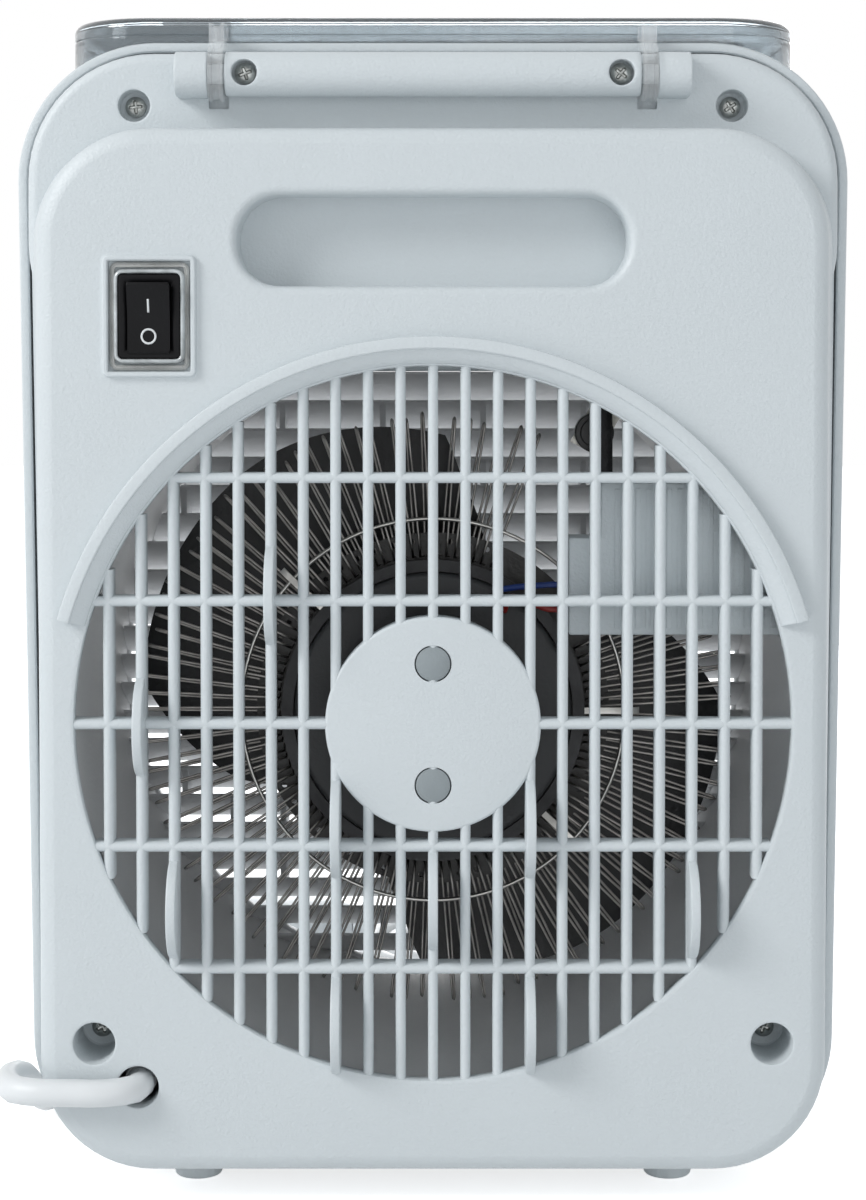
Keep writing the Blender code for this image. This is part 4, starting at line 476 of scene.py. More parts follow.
slots = [rounded(SLOT_WIDTH, SLOT_LOW, SLOT_HIGH, 0.4, steps=2, x=side * SLOT_X)
         for side in (-1, 1)]
well_profile = [(0.7, 0), (0.4, 0), (0.1, 0.12), (0, 0.4), (0, 5.1), (-0.4, 5.5), (-2.4, 5.5),
                (-2.4, 9)]
rim = [(-2.8, 0)] + [(-back, drop) for back, drop in quarter(LEDGE_ROUND, 6)] + [(0, 20)]
patches = [filled(LEDGE, ledge_outline(-2.8), *slots, ledge_hole(1)(0.7), ledge_hole(-1)(0.7)),
           carried(ledge_outline, [(grow, LEDGE + drop) for grow, drop in rim])]
for side, slot in zip((-1, 1), slots):
    patches.append(carried(ledge_hole(side), [(grow, LEDGE + drop) for grow, drop in well_profile],
                           flip=True))
    patches.append(carried(lambda grow: slot, [(0, LEDGE), (0, LEDGE + SLOT_DEPTH)], flip=True))
    patches.append(filled(LEDGE + SLOT_DEPTH, slot))
rear_ledge = build("rear_ledge", patches, shell_white, wall=0.6)
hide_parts("rear_shell")

# The two knuckles that take the ends of the hinge pins, rounded blocks of the same
# moulding as the ledge, with softened edges.
KNUCKLE_START, KNUCKLE_WIDTH, KNUCKLE_RADIUS = 55.8, 8.0, 5.5


def prism(side_view, low, high, soft=0.5):
    """A side view of Y and Z carried from low to high in X, its two ends rounded over."""
    side_view = np.asarray(side_view, float)
    middle = side_view.mean(axis=0)
    span = np.abs(side_view - middle).max()
    places = [(inset, low + drop) for inset, drop in quarter(soft, 3)]
    places += [(inset, high - drop) for inset, drop in quarter(soft, 3)[::-1]]
    rows = [np.insert(middle + (side_view - middle) * (1 - inset / span), 0, x, axis=1)
            for inset, x in places]
    count = len(side_view)
    return np.vstack(rows), quads(len(rows), count) + ends(len(rows), count)


angle = np.radians(np.linspace(90, 270, 17))
knuckle_view = [(HINGE_Y + KNUCKLE_RADIUS * math.cos(a), HINGE_Z + KNUCKLE_RADIUS * math.sin(a))
                for a in angle]
knuckle_view += [(LEDGE + 1.2, HINGE_Z - KNUCKLE_RADIUS), (LEDGE + 1.2, HINGE_Z + KNUCKLE_RADIUS)]
knuckles = build("hinge_knuckles", [
    prism(knuckle_view, KNUCKLE_START, KNUCKLE_START + KNUCKLE_WIDTH),
    prism(knuckle_view, -KNUCKLE_START - KNUCKLE_WIDTH, -KNUCKLE_START)],
    shell_white, closed=True)
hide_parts("rear_shell")

# The grille: upright bars with five crossbars and a round hub, all one moulding with
# the panel. The bars have rounded backs, so that they meet in small mitred creases.
BAR_WIDTH, BAR_DEPTH, BAR_CROWN, BAR_PITCH, CROSSBAR_PITCH = 2.5, 6.0, 1.3, 8.03, 30.5
BAR_NEAR = REAR + 0.3
HUB_RADIUS, PLUG_OFFSET, PLUG_HOLE, PLUG_SINK = 26.7, 15.1, 4.6, 3.6


def bars(middles, reaches, level):
    """Straight bars with rounded backs: a section of width and Y carried along each."""
    bow, half, far = np.linspace(-1, 1, 9), BAR_WIDTH / 2, BAR_NEAR + BAR_DEPTH
    back = BAR_NEAR + BAR_CROWN * (1 - np.sqrt(1 - (0.97 * bow) ** 2))
    section = np.vstack([np.stack([bow * half, back], 1), [(half, far), (-half, far)]])
    patches = []
    for middle, (start, end) in zip(middles, reaches):
        rows = []
        for place in (start, end):
            across, along = middle + section[:, 0], np.full(len(section), place)
            x, z = (along, across) if level else (across, along)
            rows.append(np.stack([x, section[:, 1], z], 1))
        count = len(section)
        patches.append((np.vstack(rows), quads(2, count) + ends(2, count)))
    return patches


def chords(offsets, radius, middle):
    """Where lines at these offsets from a circle's middle meet the circle."""
    half = np.sqrt(radius ** 2 - np.asarray(offsets) ** 2)
    return np.stack([middle - half, middle + half], 1)


def turned(profile, x=0.0, z=GRILLE_Z, sides=64, start=0.0, sweep=360.0, closed=False):
    """Radius and Y carried round an axis along Y, all the way or part of it with its ends."""
    whole = sweep >= 360
    angle = np.radians(start + sweep * np.arange(sides if whole else sides + 1) / sides)
    radius, y = np.array(profile, float).T[:, None]
    points = np.stack([x + radius * np.cos(angle)[:, None], y + 0 * angle[:, None],
                       z + radius * np.sin(angle)[:, None]], -1)
    rows, columns = points.shape[:2]
    faces = quads(rows, columns, whole, closed)
    return points.reshape(-1, 3), faces if whole else faces + ends(rows, columns)


uprights = np.arange(-10, 11) * BAR_PITCH
crossbars = np.arange(-2, 3) * CROSSBAR_PITCH
patches = bars(uprights, chords(uprights, GRILLE_RADIUS + 0.4, GRILLE_Z), False)
patches += bars(GRILLE_Z + crossbars, chords(crossbars, GRILLE_RADIUS + 0.4, 0), True)
hub_face = BAR_NEAR - 0.1
plug_holes = [circle(0, GRILLE_Z + side * PLUG_OFFSET, PLUG_HOLE, 32) for side in (1, -1)]
patches.append(filled(hub_face, circle(0, GRILLE_Z, HUB_RADIUS - 0.8, 96), *plug_holes))
patches.append(carried(lambda grow: circle(0, GRILLE_Z, HUB_RADIUS + grow, 96),
                       [(-inset, hub_face + drop) for inset, drop in quarter(0.8, 4)]
                       + [(0, BAR_NEAR + BAR_DEPTH)]))
patches.append(filled(BAR_NEAR + BAR_DEPTH, circle(0, GRILLE_Z, HUB_RADIUS, 96), backwards=True))
for hole in plug_holes:
    patches.append(carried(lambda grow: hole, [(0, hub_face), (0, hub_face + PLUG_SINK)],
                           flip=True))
    patches.append(filled(hub_face + PLUG_SINK, hole))
grille = build("rear_grille", patches, shell_white)
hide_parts("rear_shell")

# The hood: a low ridge that stands off the panel round the upper part of the grille,
# with a steep outer side, a flat crest and a slope down to the grille.
HOOD_START, HOOD_SWEEP = 16, 148
hood_profile = [(89.2, REAR + 1.2), (89.2, REAR - 0.3), (89.5, REAR - 0.8), (92.5, REAR - 3.05),
                (92.8, REAR - 3.1), (92.9, REAR - 3.8), (93.2, REAR - 4.0), (95.3, REAR - 4.0),
                (95.8, REAR - 3.8), (96.0, REAR - 3.3), (96.0, REAR + 1.2)]
hood = build("grille_hood", [turned(hood_profile, sides=96, start=HOOD_START,
                                    sweep=HOOD_SWEEP, closed=True)], shell_white, closed=True)
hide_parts("rear_shell")

# Nine crescent fins that keep the grille off a wall or a curtain. Each is a plate one
# bar wide, a segment of a circle seen from the side, rounded over at its edges.
FIN_REACH, FIN_LENGTH, FIN_WIDTH, FIN_ROOT = 9.0, 25.0, 2.3, 2.3
FIN_PLACES = ((-5, 32), (-9, -0.6), (-8, -46), (8, -46), (0, -44), (-3, -26), (3, -26),
              (-3, -75), (3, -75))
root = REAR + FIN_ROOT
fin_height = FIN_REACH + FIN_ROOT
fin_radius = (FIN_LENGTH ** 2 / 4 + fin_height ** 2) / (2 * fin_height)
spread = math.asin(min(1.0, FIN_LENGTH / 2 / fin_radius))
turn = np.linspace(-spread, spread, 25)
patches = []
for number, height in FIN_PLACES:
    fin_view = np.stack([root - fin_height + fin_radius * (1 - np.cos(turn)),
                         GRILLE_Z + height + fin_radius * np.sin(turn)], 1)[::-1]
    middle = number * BAR_PITCH
    patches.append(prism(fin_view, middle - FIN_WIDTH / 2, middle + FIN_WIDTH / 2, 0.5))
fins = build("spacer_fins", patches, shell_white, closed=True)
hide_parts("rear_shell")

# The front shell: the deep half of the housing, white plastic with a 2.4 mm wall. Its
# rim stands round the panel, its front is flat round the outlet, and the control
# deck drops into the opening in its top.
FRONT, WALL, RIM, FRONT_ROUND = 68.5, 2.4, REAR + 20, 6.0
BODY_WIDTH, BODY_WIDTH_LOW, BODY_LOW, BODY_TOP = 210, 204.6, 6, 290.9
BODY_CORNER_LOW, BODY_CORNER, CORNER_STEPS, OUTLET_RADIUS = 32, 35, 18, 90.6
DECK_HOLE_X, DECK_HOLE_LOW, DECK_HOLE_HIGH = 65.0, -24.0, 26.0


def body_outline(grow):
    """The housing's outline: narrower at the floor, with big corners all round."""
    return rounded(BODY_WIDTH + 2 * grow, BODY_LOW - grow, BODY_TOP + grow,
                   BODY_CORNER_LOW + grow, BODY_CORNER + grow, BODY_WIDTH_LOW + 2 * grow,
                   steps=CORNER_STEPS)


outer_bend = [(-inset, FRONT - drop) for inset, drop in quarter(FRONT_ROUND, 8)[::-1]]
inner_bend = [(-WALL - inset, FRONT - WALL - drop) for inset, drop in quarter(3.6, 6)]
rim_bend = [(-WALL, RIM + 0.6), (-WALL + 0.35, RIM + 0.12), (-WALL + 0.8, RIM),
            (-0.8, RIM), (-0.35, RIM + 0.12), (0, RIM + 0.6)]
shell_profile = [(-8.9, FRONT - WALL)] + inner_bend + rim_bend + outer_bend + [(-6.6, FRONT)]
shell_points, shell_faces = carried(body_outline, shell_profile)
columns = len(body_outline(0))
# The two flat faces of the top are left out of the carried profile, and are made after
# it with the opening for the control deck in them.
top_column = 2 * (CORNER_STEPS + 1) - 1
inner_row, outer_row = len(inner_bend), len(inner_bend) + len(rim_bend)
dropped = {inner_row * columns + top_column, outer_row * columns + top_column}
shell_faces = [face for number, face in enumerate(shell_faces) if number not in dropped]
patches = [(shell_points, shell_faces),
           filled(FRONT, body_outline(-6.6), circle(0, GRILLE_Z, OUTLET_RADIUS + 0.5, 128),
                  backwards=True),
           filled(FRONT - WALL, body_outline(-8.9), circle(0, GRILLE_Z, OUTLET_RADIUS, 128)),
           carried(lambda grow: circle(0, GRILLE_Z, OUTLET_RADIUS + grow, 128),
                   [(0, FRONT - WALL), (0, FRONT - 0.5), (0.15, FRONT - 0.15), (0.5, FRONT)],
                   flip=True)]


def level(patch):
    """A patch made as if seen from behind, laid level: its Y and Z change places."""
    points, faces = patch
    return points[:, [0, 2, 1]], [face[::-1] for face in faces]


def deck_opening(grow):
    """The opening for the control deck in the housing's top, as X and Y."""
    return rounded(2 * DECK_HOLE_X + 2 * grow, DECK_HOLE_LOW - grow, DECK_HOLE_HIGH + grow, 2,
                   steps=4)


for row, height, below in ((inner_row, BODY_TOP - WALL, True), (outer_row, BODY_TOP, False)):
    edge = shell_points.reshape(-1, columns, 3)[row:row + 2, top_column:top_column + 2]
    corners = edge[[0, 1, 1, 0], [0, 0, 1, 1]][:, [0, 1]]
    patches.append(level(filled(height, corners, deck_opening(0), backwards=not below)))
patches.append(level(carried(deck_opening, [(0, BODY_TOP - WALL), (0, BODY_TOP)])))
front_shell = build("front_shell_skin", patches, shell_white, closed=True)
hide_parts("front_shell")

# The front grille: pale grey louvres that slope down towards the front, moulded in one
# with their outer ring. Short upright links tie them, staggered from row to row.
LOUVRE_NEAR, LOUVRE_FRONT, LOUVRE_WIDTH, LOUVRE_PITCH = 46.0, 65.8, 1.5, 8.15
LOUVRE_DROP, LOUVRE_ROWS = 9.2, 10
LINKS_EVEN, LINKS_ODD = (-58, -43.5, -14.5, 14.5, 43.5, 58), (-72, -29, 0, 29, 72)
louvre_grey = finish("louvre grey plastic", (0.84, 0.85, 0.86), 0.5, (60, 0.93),
                     (1100, 0.00005), more={"Sheen Weight": 0.4, "Sheen Roughness": 0.6})


def louvre(height):
    """A slat's section of Y and height, sloping down forwards, carried to the duct's wall."""
    along = np.linspace(0, 1, 7)
    y = LOUVRE_NEAR + (LOUVRE_FRONT - LOUVRE_NEAR) * along
    z = height + LOUVRE_DROP * (0.5 - along - 0.08 * np.sin(np.pi * along))
    half = LOUVRE_WIDTH / 2 * np.r_[0.45, 0.9, 1, 1, 1, 0.9, 0.45]
    section = np.vstack([np.stack([y, z - half], 1), np.stack([y, z + half], 1)[::-1]])
    reach = np.sqrt((OUTLET_RADIUS - 0.2) ** 2 - section[:, 1] ** 2)
    section[:, 1] += GRILLE_Z
    points = np.vstack([np.insert(section, 0, side * reach, axis=1) for side in (-1, 1)])
    return points, quads(2, len(section)) + ends(2, len(section))


def link(x, height):
    """A short upright tie between two slats, following their slope."""
    back, out = LOUVRE_NEAR + 1.2, LOUVRE_FRONT - 0.6
    rows = []
    for edge in (-0.8, 0.8):
        rows.append([(x + edge, y, GRILLE_Z + height + rise + LOUVRE_DROP * (0.5 - share))
                     for y, share in ((back, 0.06), (out, 0.97))
                     for rise in ((0, LOUVRE_PITCH) if y == back else (LOUVRE_PITCH, 0))])
    return np.vstack(rows), quads(2, 4) + ends(2, 4)


patches = [louvre(row * LOUVRE_PITCH) for row in range(-LOUVRE_ROWS, LOUVRE_ROWS + 1)]
for step in range(-LOUVRE_ROWS, LOUVRE_ROWS):
    for place in LINKS_ODD if step % 2 else LINKS_EVEN:
        if math.hypot(place, abs((step + 0.5) * LOUVRE_PITCH) + 8.5) < OUTLET_RADIUS - 1:
            patches.append(link(place, step * LOUVRE_PITCH))
patches.append(turned([(89.6, 63.2), (90.0, 62.8), (91.8, 62.8), (92.2, 63.2), (92.2, 65.8),
                       (89.6, 65.8)], sides=128, closed=True))
front_grille = build("front_louvres", patches, louvre_grey, closed=True)
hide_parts("front_grille")

# The air duct: a short grey tube from the grille to the louvres that guides the air
# round the fan. Its rear edge is notched for the control box and the sleeved wires.
DUCT_WALL, DUCT_START, DUCT_END, NOTCH_END = 1.6, -52.9, 62.5, -35.2
duct_grey = finish("duct grey plastic", (0.88, 0.88, 0.88), 0.45, (40, 0.93), (900, 0.00006),
                   more={"Sheen Weight": 0.8, "Sheen Roughness": 0.6})


def duct_section(start, end):
    """The tube's wall between two depths as radius and Y, its rear edge a little rounded."""
    inner, outer = OUTLET_RADIUS, OUTLET_RADIUS + DUCT_WALL
    return [(inner, start), (inner + 0.4, start - 0.3), (outer - 0.4, start - 0.3),
            (outer, start), (outer, end), (inner, end)]


patches = [turned(duct_section(NOTCH_END, DUCT_END), sides=144, closed=True)]
for start, end in ((65.3, 372.4), (42.0, 58.1)):
    patches.append(turned(duct_section(DUCT_START + 0.3, NOTCH_END + 1),
                          sides=round((end - start) / 2.5), start=start, sweep=end - start,
                          closed=True))
duct = build("air_duct_tube", patches, duct_grey, closed=True)
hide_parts("air_duct")

# The motor cover: a dark grey cup behind the hub that holds the motor on two posts.
# It is moulded, with a rounded edge and a shallow step round its face.
COVER_RADIUS, COVER_FACE, COVER_SKIRT, COVER_WALL = 35.6, -36.5, -28.5, 1.6
POST_NEAR, POST_RADIUS = -52.9, 4.5
cover_grey = finish("motor cover grey", (0.055, 0.056, 0.058), 0.5, (50, 0.85),
                    (900, 0.00006))
cup = [(0.01, COVER_FACE + 0.6), (22, COVER_FACE + 0.6), (22.6, COVER_FACE)]
cup += [(COVER_RADIUS - inset, COVER_FACE + drop) for inset, drop in quarter(COVER_WALL, 5)]
cup += [(COVER_RADIUS, COVER_SKIRT), (COVER_RADIUS - COVER_WALL, COVER_SKIRT),
        (COVER_RADIUS - COVER_WALL, COVER_FACE + 2.2), (0.01, COVER_FACE + 2.2)]
post = [(0.01, POST_NEAR), (POST_RADIUS - 0.6, POST_NEAR), (POST_RADIUS, POST_NEAR + 0.6),
        (POST_RADIUS, COVER_FACE - 1.1), (5.6, COVER_FACE + 0.3), (0.01, COVER_FACE + 0.3)]
patches = [turned(cup, sides=96)]
for side in (-1, 1):
    patches.append(turned(post, z=GRILLE_Z + side * PLUG_OFFSET, sides=32))
cover = build("motor_cover_cup", patches, cover_grey, closed=True)
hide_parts("motor_cover")

# The heating element: one long resistance wire bent into about a hundred narrow
# hairpins that stand out like petals, threaded through the holes of a mica ring.
HAIRPINS, HAIRPIN_START, HAIRPIN_SWEEP = 98, 68.0, 318.0
HAIRPIN_INNER, HAIRPIN_OUTER, HAIRPIN_HALF, ELEMENT_Y = 39.6, 77.2, 0.62, -31.5
WIRE_THICKNESS, WIRE_DEPTH = 0.36, 1.5


def tube(line, radius, sides=8, up=(0, 1, 0)):
    """A circle carried along a line, its spokes square to the line and to the up direction."""
    line = np.asarray(line, float)
    run = np.gradient(line, axis=0)
    run /= np.linalg.norm(run, axis=1)[:, None]
    side = np.cross(run, up)
    side /= np.linalg.norm(side, axis=1)[:, None]
    over = np.cross(side, run)
    angle = 2 * np.pi * np.arange(sides) / sides
    radius = np.broadcast_to(radius, len(line))[:, None, None]
    spokes = (np.cos(angle)[:, None] * side[:, None] + np.sin(angle)[:, None] * over[:, None])
    points = line[:, None] + radius * spokes
    return points.reshape(-1, 3), quads(len(line), sides) + ends(len(line), sides)


def polar(angle, radius, y, across=0.0):
    """Points at an angle and radius round the grille's axis, moved across the radius."""
    return np.stack([radius * np.cos(angle) - across * np.sin(angle), y + 0 * angle,
                     GRILLE_Z + radius * np.sin(angle) + across * np.cos(angle)], -1)


# Each hairpin runs out on one leg, round its tip and back on the other. Sums of sines
# move its angle, its tip and its lean a little, as in a ring that is bent by hand.
step = math.radians(HAIRPIN_SWEEP / HAIRPINS)
middle = math.radians(HAIRPIN_START) + step * (np.arange(HAIRPINS) + 0.5)[:, None]
middle = middle + 0.006 * np.sin(middle * 61) + 0.005 * np.sin(middle * 97)
bend = np.radians([-90, -45, 0, 45, 90])
tip = HAIRPIN_OUTER - 1.6 + 0.9 * np.sin(middle * 17) + 0.6 * np.sin(middle * 41)
reach = np.hstack([HAIRPIN_INNER + 0 * tip, HAIRPIN_INNER + 6 + 0 * tip, tip - 14, tip - 3,
                   tip + 1.2 * (np.cos(bend) - 1), tip - 3, tip - 14,
                   HAIRPIN_INNER + 6 + 0 * tip, HAIRPIN_INNER + 0 * tip])
share = np.r_[-1, -1, -0.8, -0.45, 0.4 * np.sin(bend), 0.45, 0.8, 1, 1]
lean = 0.5 * np.sin(middle * 29) * (reach - HAIRPIN_INNER) / 38
hairpins = polar(middle + 0 * reach, reach, ELEMENT_Y + share * WIRE_DEPTH + 0 * reach,
                 share * HAIRPIN_HALF + lean)
across_wire = polar(middle + 0 * reach, 0 * reach, 0 * reach, 1 + 0 * reach) - (0, 0, GRILLE_Z)
wire_alloy = finish("oxidised resistance wire", (0.42, 0.40, 0.38), 0.34, (160, 0.55),
                    metallic=1.0)
heater = build("hairpin_wire", [tube(hairpins.reshape(-1, 3), WIRE_THICKNESS, 6,
                                     across_wire.reshape(-1, 3))], wire_alloy, sharp=180)
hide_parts("heating_wire")

# The mica ring that carries the hairpins: dark brown-black board with a row of small
# punched holes, one for each bend of the wire.
MICA_INNER, MICA_OUTER, MICA_NEAR, MICA_THICK = 35.9, 45.5, -30.5, 1.2
MICA_HOLES, MICA_HOLE_RADIUS = 43.4, 0.75
mica_dark = finish("mica board", (0.022, 0.020, 0.018), 0.38, (400, 0.5), (700, 0.00008))
holes = [circle(MICA_HOLES * math.cos(a), GRILLE_Z + MICA_HOLES * math.sin(a),
                MICA_HOLE_RADIUS, 8)
         for a in math.radians(HAIRPIN_START) + step * (np.arange(0, HAIRPINS, 2) + 1)]
rims = [circle(0, GRILLE_Z, MICA_OUTER, 120), circle(0, GRILLE_Z, MICA_INNER, 120)]
patches = [filled(MICA_NEAR, *rims, *holes),
           filled(MICA_NEAR + MICA_THICK, *rims, *holes, backwards=True)]
for number, loop in enumerate(rims + holes):
    patches.append(carried(lambda grow: loop, [(0, MICA_NEAR), (0, MICA_NEAR + MICA_THICK)],
                           flip=number > 0))
mica = build("mica_disc", patches, mica_dark)
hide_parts("mica_ring")

# The bright wire ring over the hairpins, and the bracket that holds it: a flat ring of
# blackened steel with four narrow plated strips that press the wire ring down.
plated = finish("plated steel", (0.62, 0.61, 0.58), 0.28, (120, 0.75), (500, 0.00004), 1.0)
RING_RADIUS, RING_Y, RING_THICK = 49.3, -33.5, 0.5
angle = np.radians(np.arange(0, 360, 45))
ring = build("element_ring", [turned([(RING_RADIUS + RING_THICK * math.cos(a),
                                       RING_Y + RING_THICK * math.sin(a)) for a in angle],
                                     sides=128, closed=True)], plated, closed=True, sharp=180)
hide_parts("wire_ring")
BRACKET_NEAR, BRACKET_FAR, STRIP_HALF, STRIP_REACH = -35.2, -34.4, 0.8, 53.0
blackened = finish("blackened steel", (0.05, 0.05, 0.052), 0.45, (150, 0.6), (500, 0.00005),
                   0.6)
base_ring = build("bracket_ring", [turned([(35.9, BRACKET_NEAR), (38.9, BRACKET_NEAR),
                                           (38.9, BRACKET_FAR), (35.9, BRACKET_FAR)],
                                          sides=96, closed=True)], blackened, closed=True)
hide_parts("element_bracket")
patches = []
for place in (0, 90, 137, 317):
    turn = math.radians(place)
    length = np.array([37.4, 45, 47.5, 49.3, 51.2, STRIP_REACH])
    lift = np.array([0, 0, -0.1, -0.15, 0.0, 0.9])
    rows = []
    for radius, out in zip(length, lift):
        rows.append(np.vstack([polar(np.array([turn]), radius, BRACKET_NEAR + 0.15 + out + deep, w)
                               for deep, w in ((0, -STRIP_HALF), (0, STRIP_HALF),
                                               (0.55, STRIP_HALF), (0.55, -STRIP_HALF))]))
    patches.append((np.vstack(rows), quads(len(rows), 4) + ends(len(rows), 4)))
bracket = build("element_strips", patches, plated, closed=True)
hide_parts("element_bracket")

# The fan: a black moulding of two broad blades on a hub, turned by the motor behind
# it. The blades are twisted, wide at the root and uneven at the tip.
FAN_MIDDLE, FAN_RADIUS, FAN_TRAILING, FAN_PITCH, BLADE_HALF = -5.5, 78.5, 65.0, 15.0, 0.8
fan_black = finish("black fan plastic", (0.012, 0.012, 0.013), 0.32, (30, 0.6),
                   (800, 0.00005))


def blade(turn):
    """A blade as share along its sweep and radius, its two faces joined round the edges."""
    share = np.linspace(0, 1, 41)[:, None]
    tip = FAN_TRAILING + (FAN_RADIUS - FAN_TRAILING) * np.sin(
        np.pi / 2 * np.minimum(1, 0.25 + 1.5 * share))
    out = np.linspace(0, 1, 25)[None]
    radius = 9 + (tip - 9) * out
    knots, first, last = (9, 40, 58, 78.5), (66, 69, 82, 91), (222, 218, 204, 178)
    begin, end = np.interp(radius, knots, first), np.interp(radius, knots, last)
    angle = np.radians(begin + (end - begin) * share + turn)
    y = FAN_MIDDLE + FAN_PITCH * (share - 0.5) * np.minimum(1, 0.55 + 0.45 * radius / FAN_RADIUS)
    x, z = radius * np.cos(angle), GRILLE_Z + radius * np.sin(angle)
    near = np.stack([x, y - BLADE_HALF, z], -1)
    far = np.stack([x, y + BLADE_HALF, z], -1)[:, ::-1]
    points = np.hstack([near, far])
    rows, columns = points.shape[:2]
    faces = quads(rows, columns)
    half = columns // 2
    for row in (0, rows - 1):
        k = np.arange(half - 1)
        ids = np.stack([k, k + 1, columns - 2 - k, columns - 1 - k], 1) + row * columns
        faces += ids[:, ::1 if row == 0 else -1].tolist()
    return points.reshape(-1, 3), faces


patches = [blade(0), blade(180),
           turned([(2.0, -11.5), (9.5, -11.5), (11.2, -11.1), (12, -10.2), (12, -0.9), (11.4, 0.2),
                   (10.4, 0.5), (2.0, 0.5)], sides=64, closed=True)]
fan = build("fan_blades", patches, fan_black, body="fan", closed=True, sharp=40)
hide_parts("fan_impeller")

# The control box behind the grille, a white moulded tray with its lid on, stepped at
# its left end. It holds the switch wiring and is ribbed along its face.
BOX_NEAR, BOX_FAR = -49.5, -35.5
box_white = finish("control box plastic", (0.78, 0.83, 0.85), 0.5, (40, 0.95),
                   (1300, 0.00008))
box_corners = np.array([(34, 141.9), (92, 141.9), (92, 180.2), (42, 180.2), (42, 166.3),
                        (34, 166.3)])


def softened(corners, cut):
    """Each corner turned into a small curve: a quadratic blend of its two sides."""
    before, after = np.roll(corners, 1, axis=0), np.roll(corners, -1, axis=0)
    start = corners + (before - corners) * cut / np.linalg.norm(before - corners, axis=1)[:, None]
    end = corners + (after - corners) * cut / np.linalg.norm(after - corners, axis=1)[:, None]
    t = np.linspace(0, 1, 5)[None, :, None]
    curve = ((1 - t) ** 2 * start[:, None] + 2 * t * (1 - t) * corners[:, None]
             + t ** 2 * end[:, None])
    return curve.reshape(-1, 2)


def slab(corners, near, far, soft=0.5, cut=0.8):
    """A slab between two depths with softened corners and edges, drawn in by moving edges."""
    corners = np.asarray(corners, float)
    side = np.roll(corners, -1, axis=0) - corners
    side /= np.linalg.norm(side, axis=1)[:, None]
    inwards = np.stack([-side[:, 1], side[:, 0]], 1)
    previous = np.roll(inwards, 1, axis=0)
    shift = (inwards + previous) / (1 + (inwards * previous).sum(1))[:, None]
    places = [(inset, near + drop) for inset, drop in quarter(soft, 3)]
    places += [(inset, far - drop) for inset, drop in quarter(soft, 3)[::-1]]
    rows = [np.insert(softened(corners + shift * inset, cut), 1, y, axis=1)
            for inset, y in places]
    return np.vstack(rows), quads(len(rows), len(rows[0])) + ends(len(rows), len(rows[0]))


patches = [slab(box_corners, BOX_NEAR + 0.4, BOX_FAR)]
for x in np.arange(45.5, 90, 2.6):
    patches.append(slab([(x, 143.5), (x + 1.3, 143.5), (x + 1.3, 178.6), (x, 178.6)],
                        BOX_NEAR + 0.1, BOX_NEAR + 1, 0.15, 0.2))
box = build("control_box_tray", patches, box_white, closed=True)
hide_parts("control_box")

# The wiring: a black woven sleeve with the mains wires goes up from the box to the
# controls, and a red and a blue wire go from the motor to the box. All are flexible.
SLEEVE_RADIUS, LEAD_RADIUS = 2.4, 0.8
wire_middle = (BOX_NEAR + BOX_FAR) / 2
sleeve_line = through([(43, wire_middle, 180.5), (43, wire_middle + 1, 200.2),
                       (43, wire_middle + 5, 222.2), (41, wire_middle + 18, 241.6),
                       (36, -5, 247.6), (32, 1, 256.6), (32, 1, 263.3)], 1.2)
sleeve_black = finish("woven black sleeve", (0.018, 0.018, 0.02), 0.6, (300, 0.5),
                      (1500, 0.00015))
sleeve = build("sleeved_wires", [tube(sleeve_line, SLEEVE_RADIUS, 20, (1, 0.3, 0))],
               sleeve_black, sharp=180)
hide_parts("wire_sleeve")
for name, colour, rise in (("red", (0.34, 0.02, 0.015), 3), ("blue", (0.012, 0.05, 0.26), 9)):
    insulation = finish(name + " insulation", colour, 0.35, (200, 0.8))
    begin = polar(np.radians([52.0 + rise]), 31.6, COVER_FACE - 1.1)[0]
    far_end = np.array([33.7, wire_middle, 141.9 + rise + 3])
    line = through([begin, begin + (2, -3, 4), far_end - (5, 0, 0), far_end], 0.8)
    wire = build("motor_lead_" + name, [tube(line, LEAD_RADIUS, 10, (0, 1, 0.2))], insulation,
                 sharp=180)
    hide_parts("motor_wire_" + name)

# The thermal cutout: a small black disc on a steel clip at the edge of the element,
# which opens the circuit if the air stops.
CUTOUT_X, CUTOUT_Z, CUTOUT_RADIUS = 41.25, 192.25, 5.0
disc = [(0.01, -36.8), (3.4, -36.8), (3.6, -36.6), (3.7, -36.1), (CUTOUT_RADIUS - 0.3, -36.1),
        (CUTOUT_RADIUS, -35.8), (CUTOUT_RADIUS, -32.1), (CUTOUT_RADIUS - 0.3, -31.8),
        (0.01, -31.8)]
cutout = build("cutout_disc", [turned(disc, CUTOUT_X, CUTOUT_Z, 40)], fan_black, closed=True)
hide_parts("thermal_cutout")

# The mains switch sits in a raised frame: a black snap-in body with a rocker that has I
# over O in white. A soft plastic seal goes round it, a grey flange with a clear ridge,
# whose paler colour is partly a painted highlight.
BEZEL_HALF_X, BEZEL_HALF_Z, BEZEL_CORNER, BEZEL_REACH = 7.65, 10.35, 1.2, 1.6
ROCKER_HALF_X, ROCKER_HALF_Z, ROCKER_REACH, ROCKER_TILT, ROCKER_Y = 5.2, 8.8, 3.4, 9.0, -59.9
switch_black = finish("switch plastic", (0.006, 0.006, 0.007), 0.48, (90, 0.7),
                      (900, 0.00004), more={"Specular IOR Level": 0.14})


def window(half_x, half_z, corner):
    """A rounded window round the switch's middle, given by growth."""
    return lambda grow: rounded(2 * (half_x + grow), SWITCH_Z - half_z - grow,
                                SWITCH_Z + half_z + grow, max(0.15, corner + grow), steps=5,
                                x=SWITCH_X)


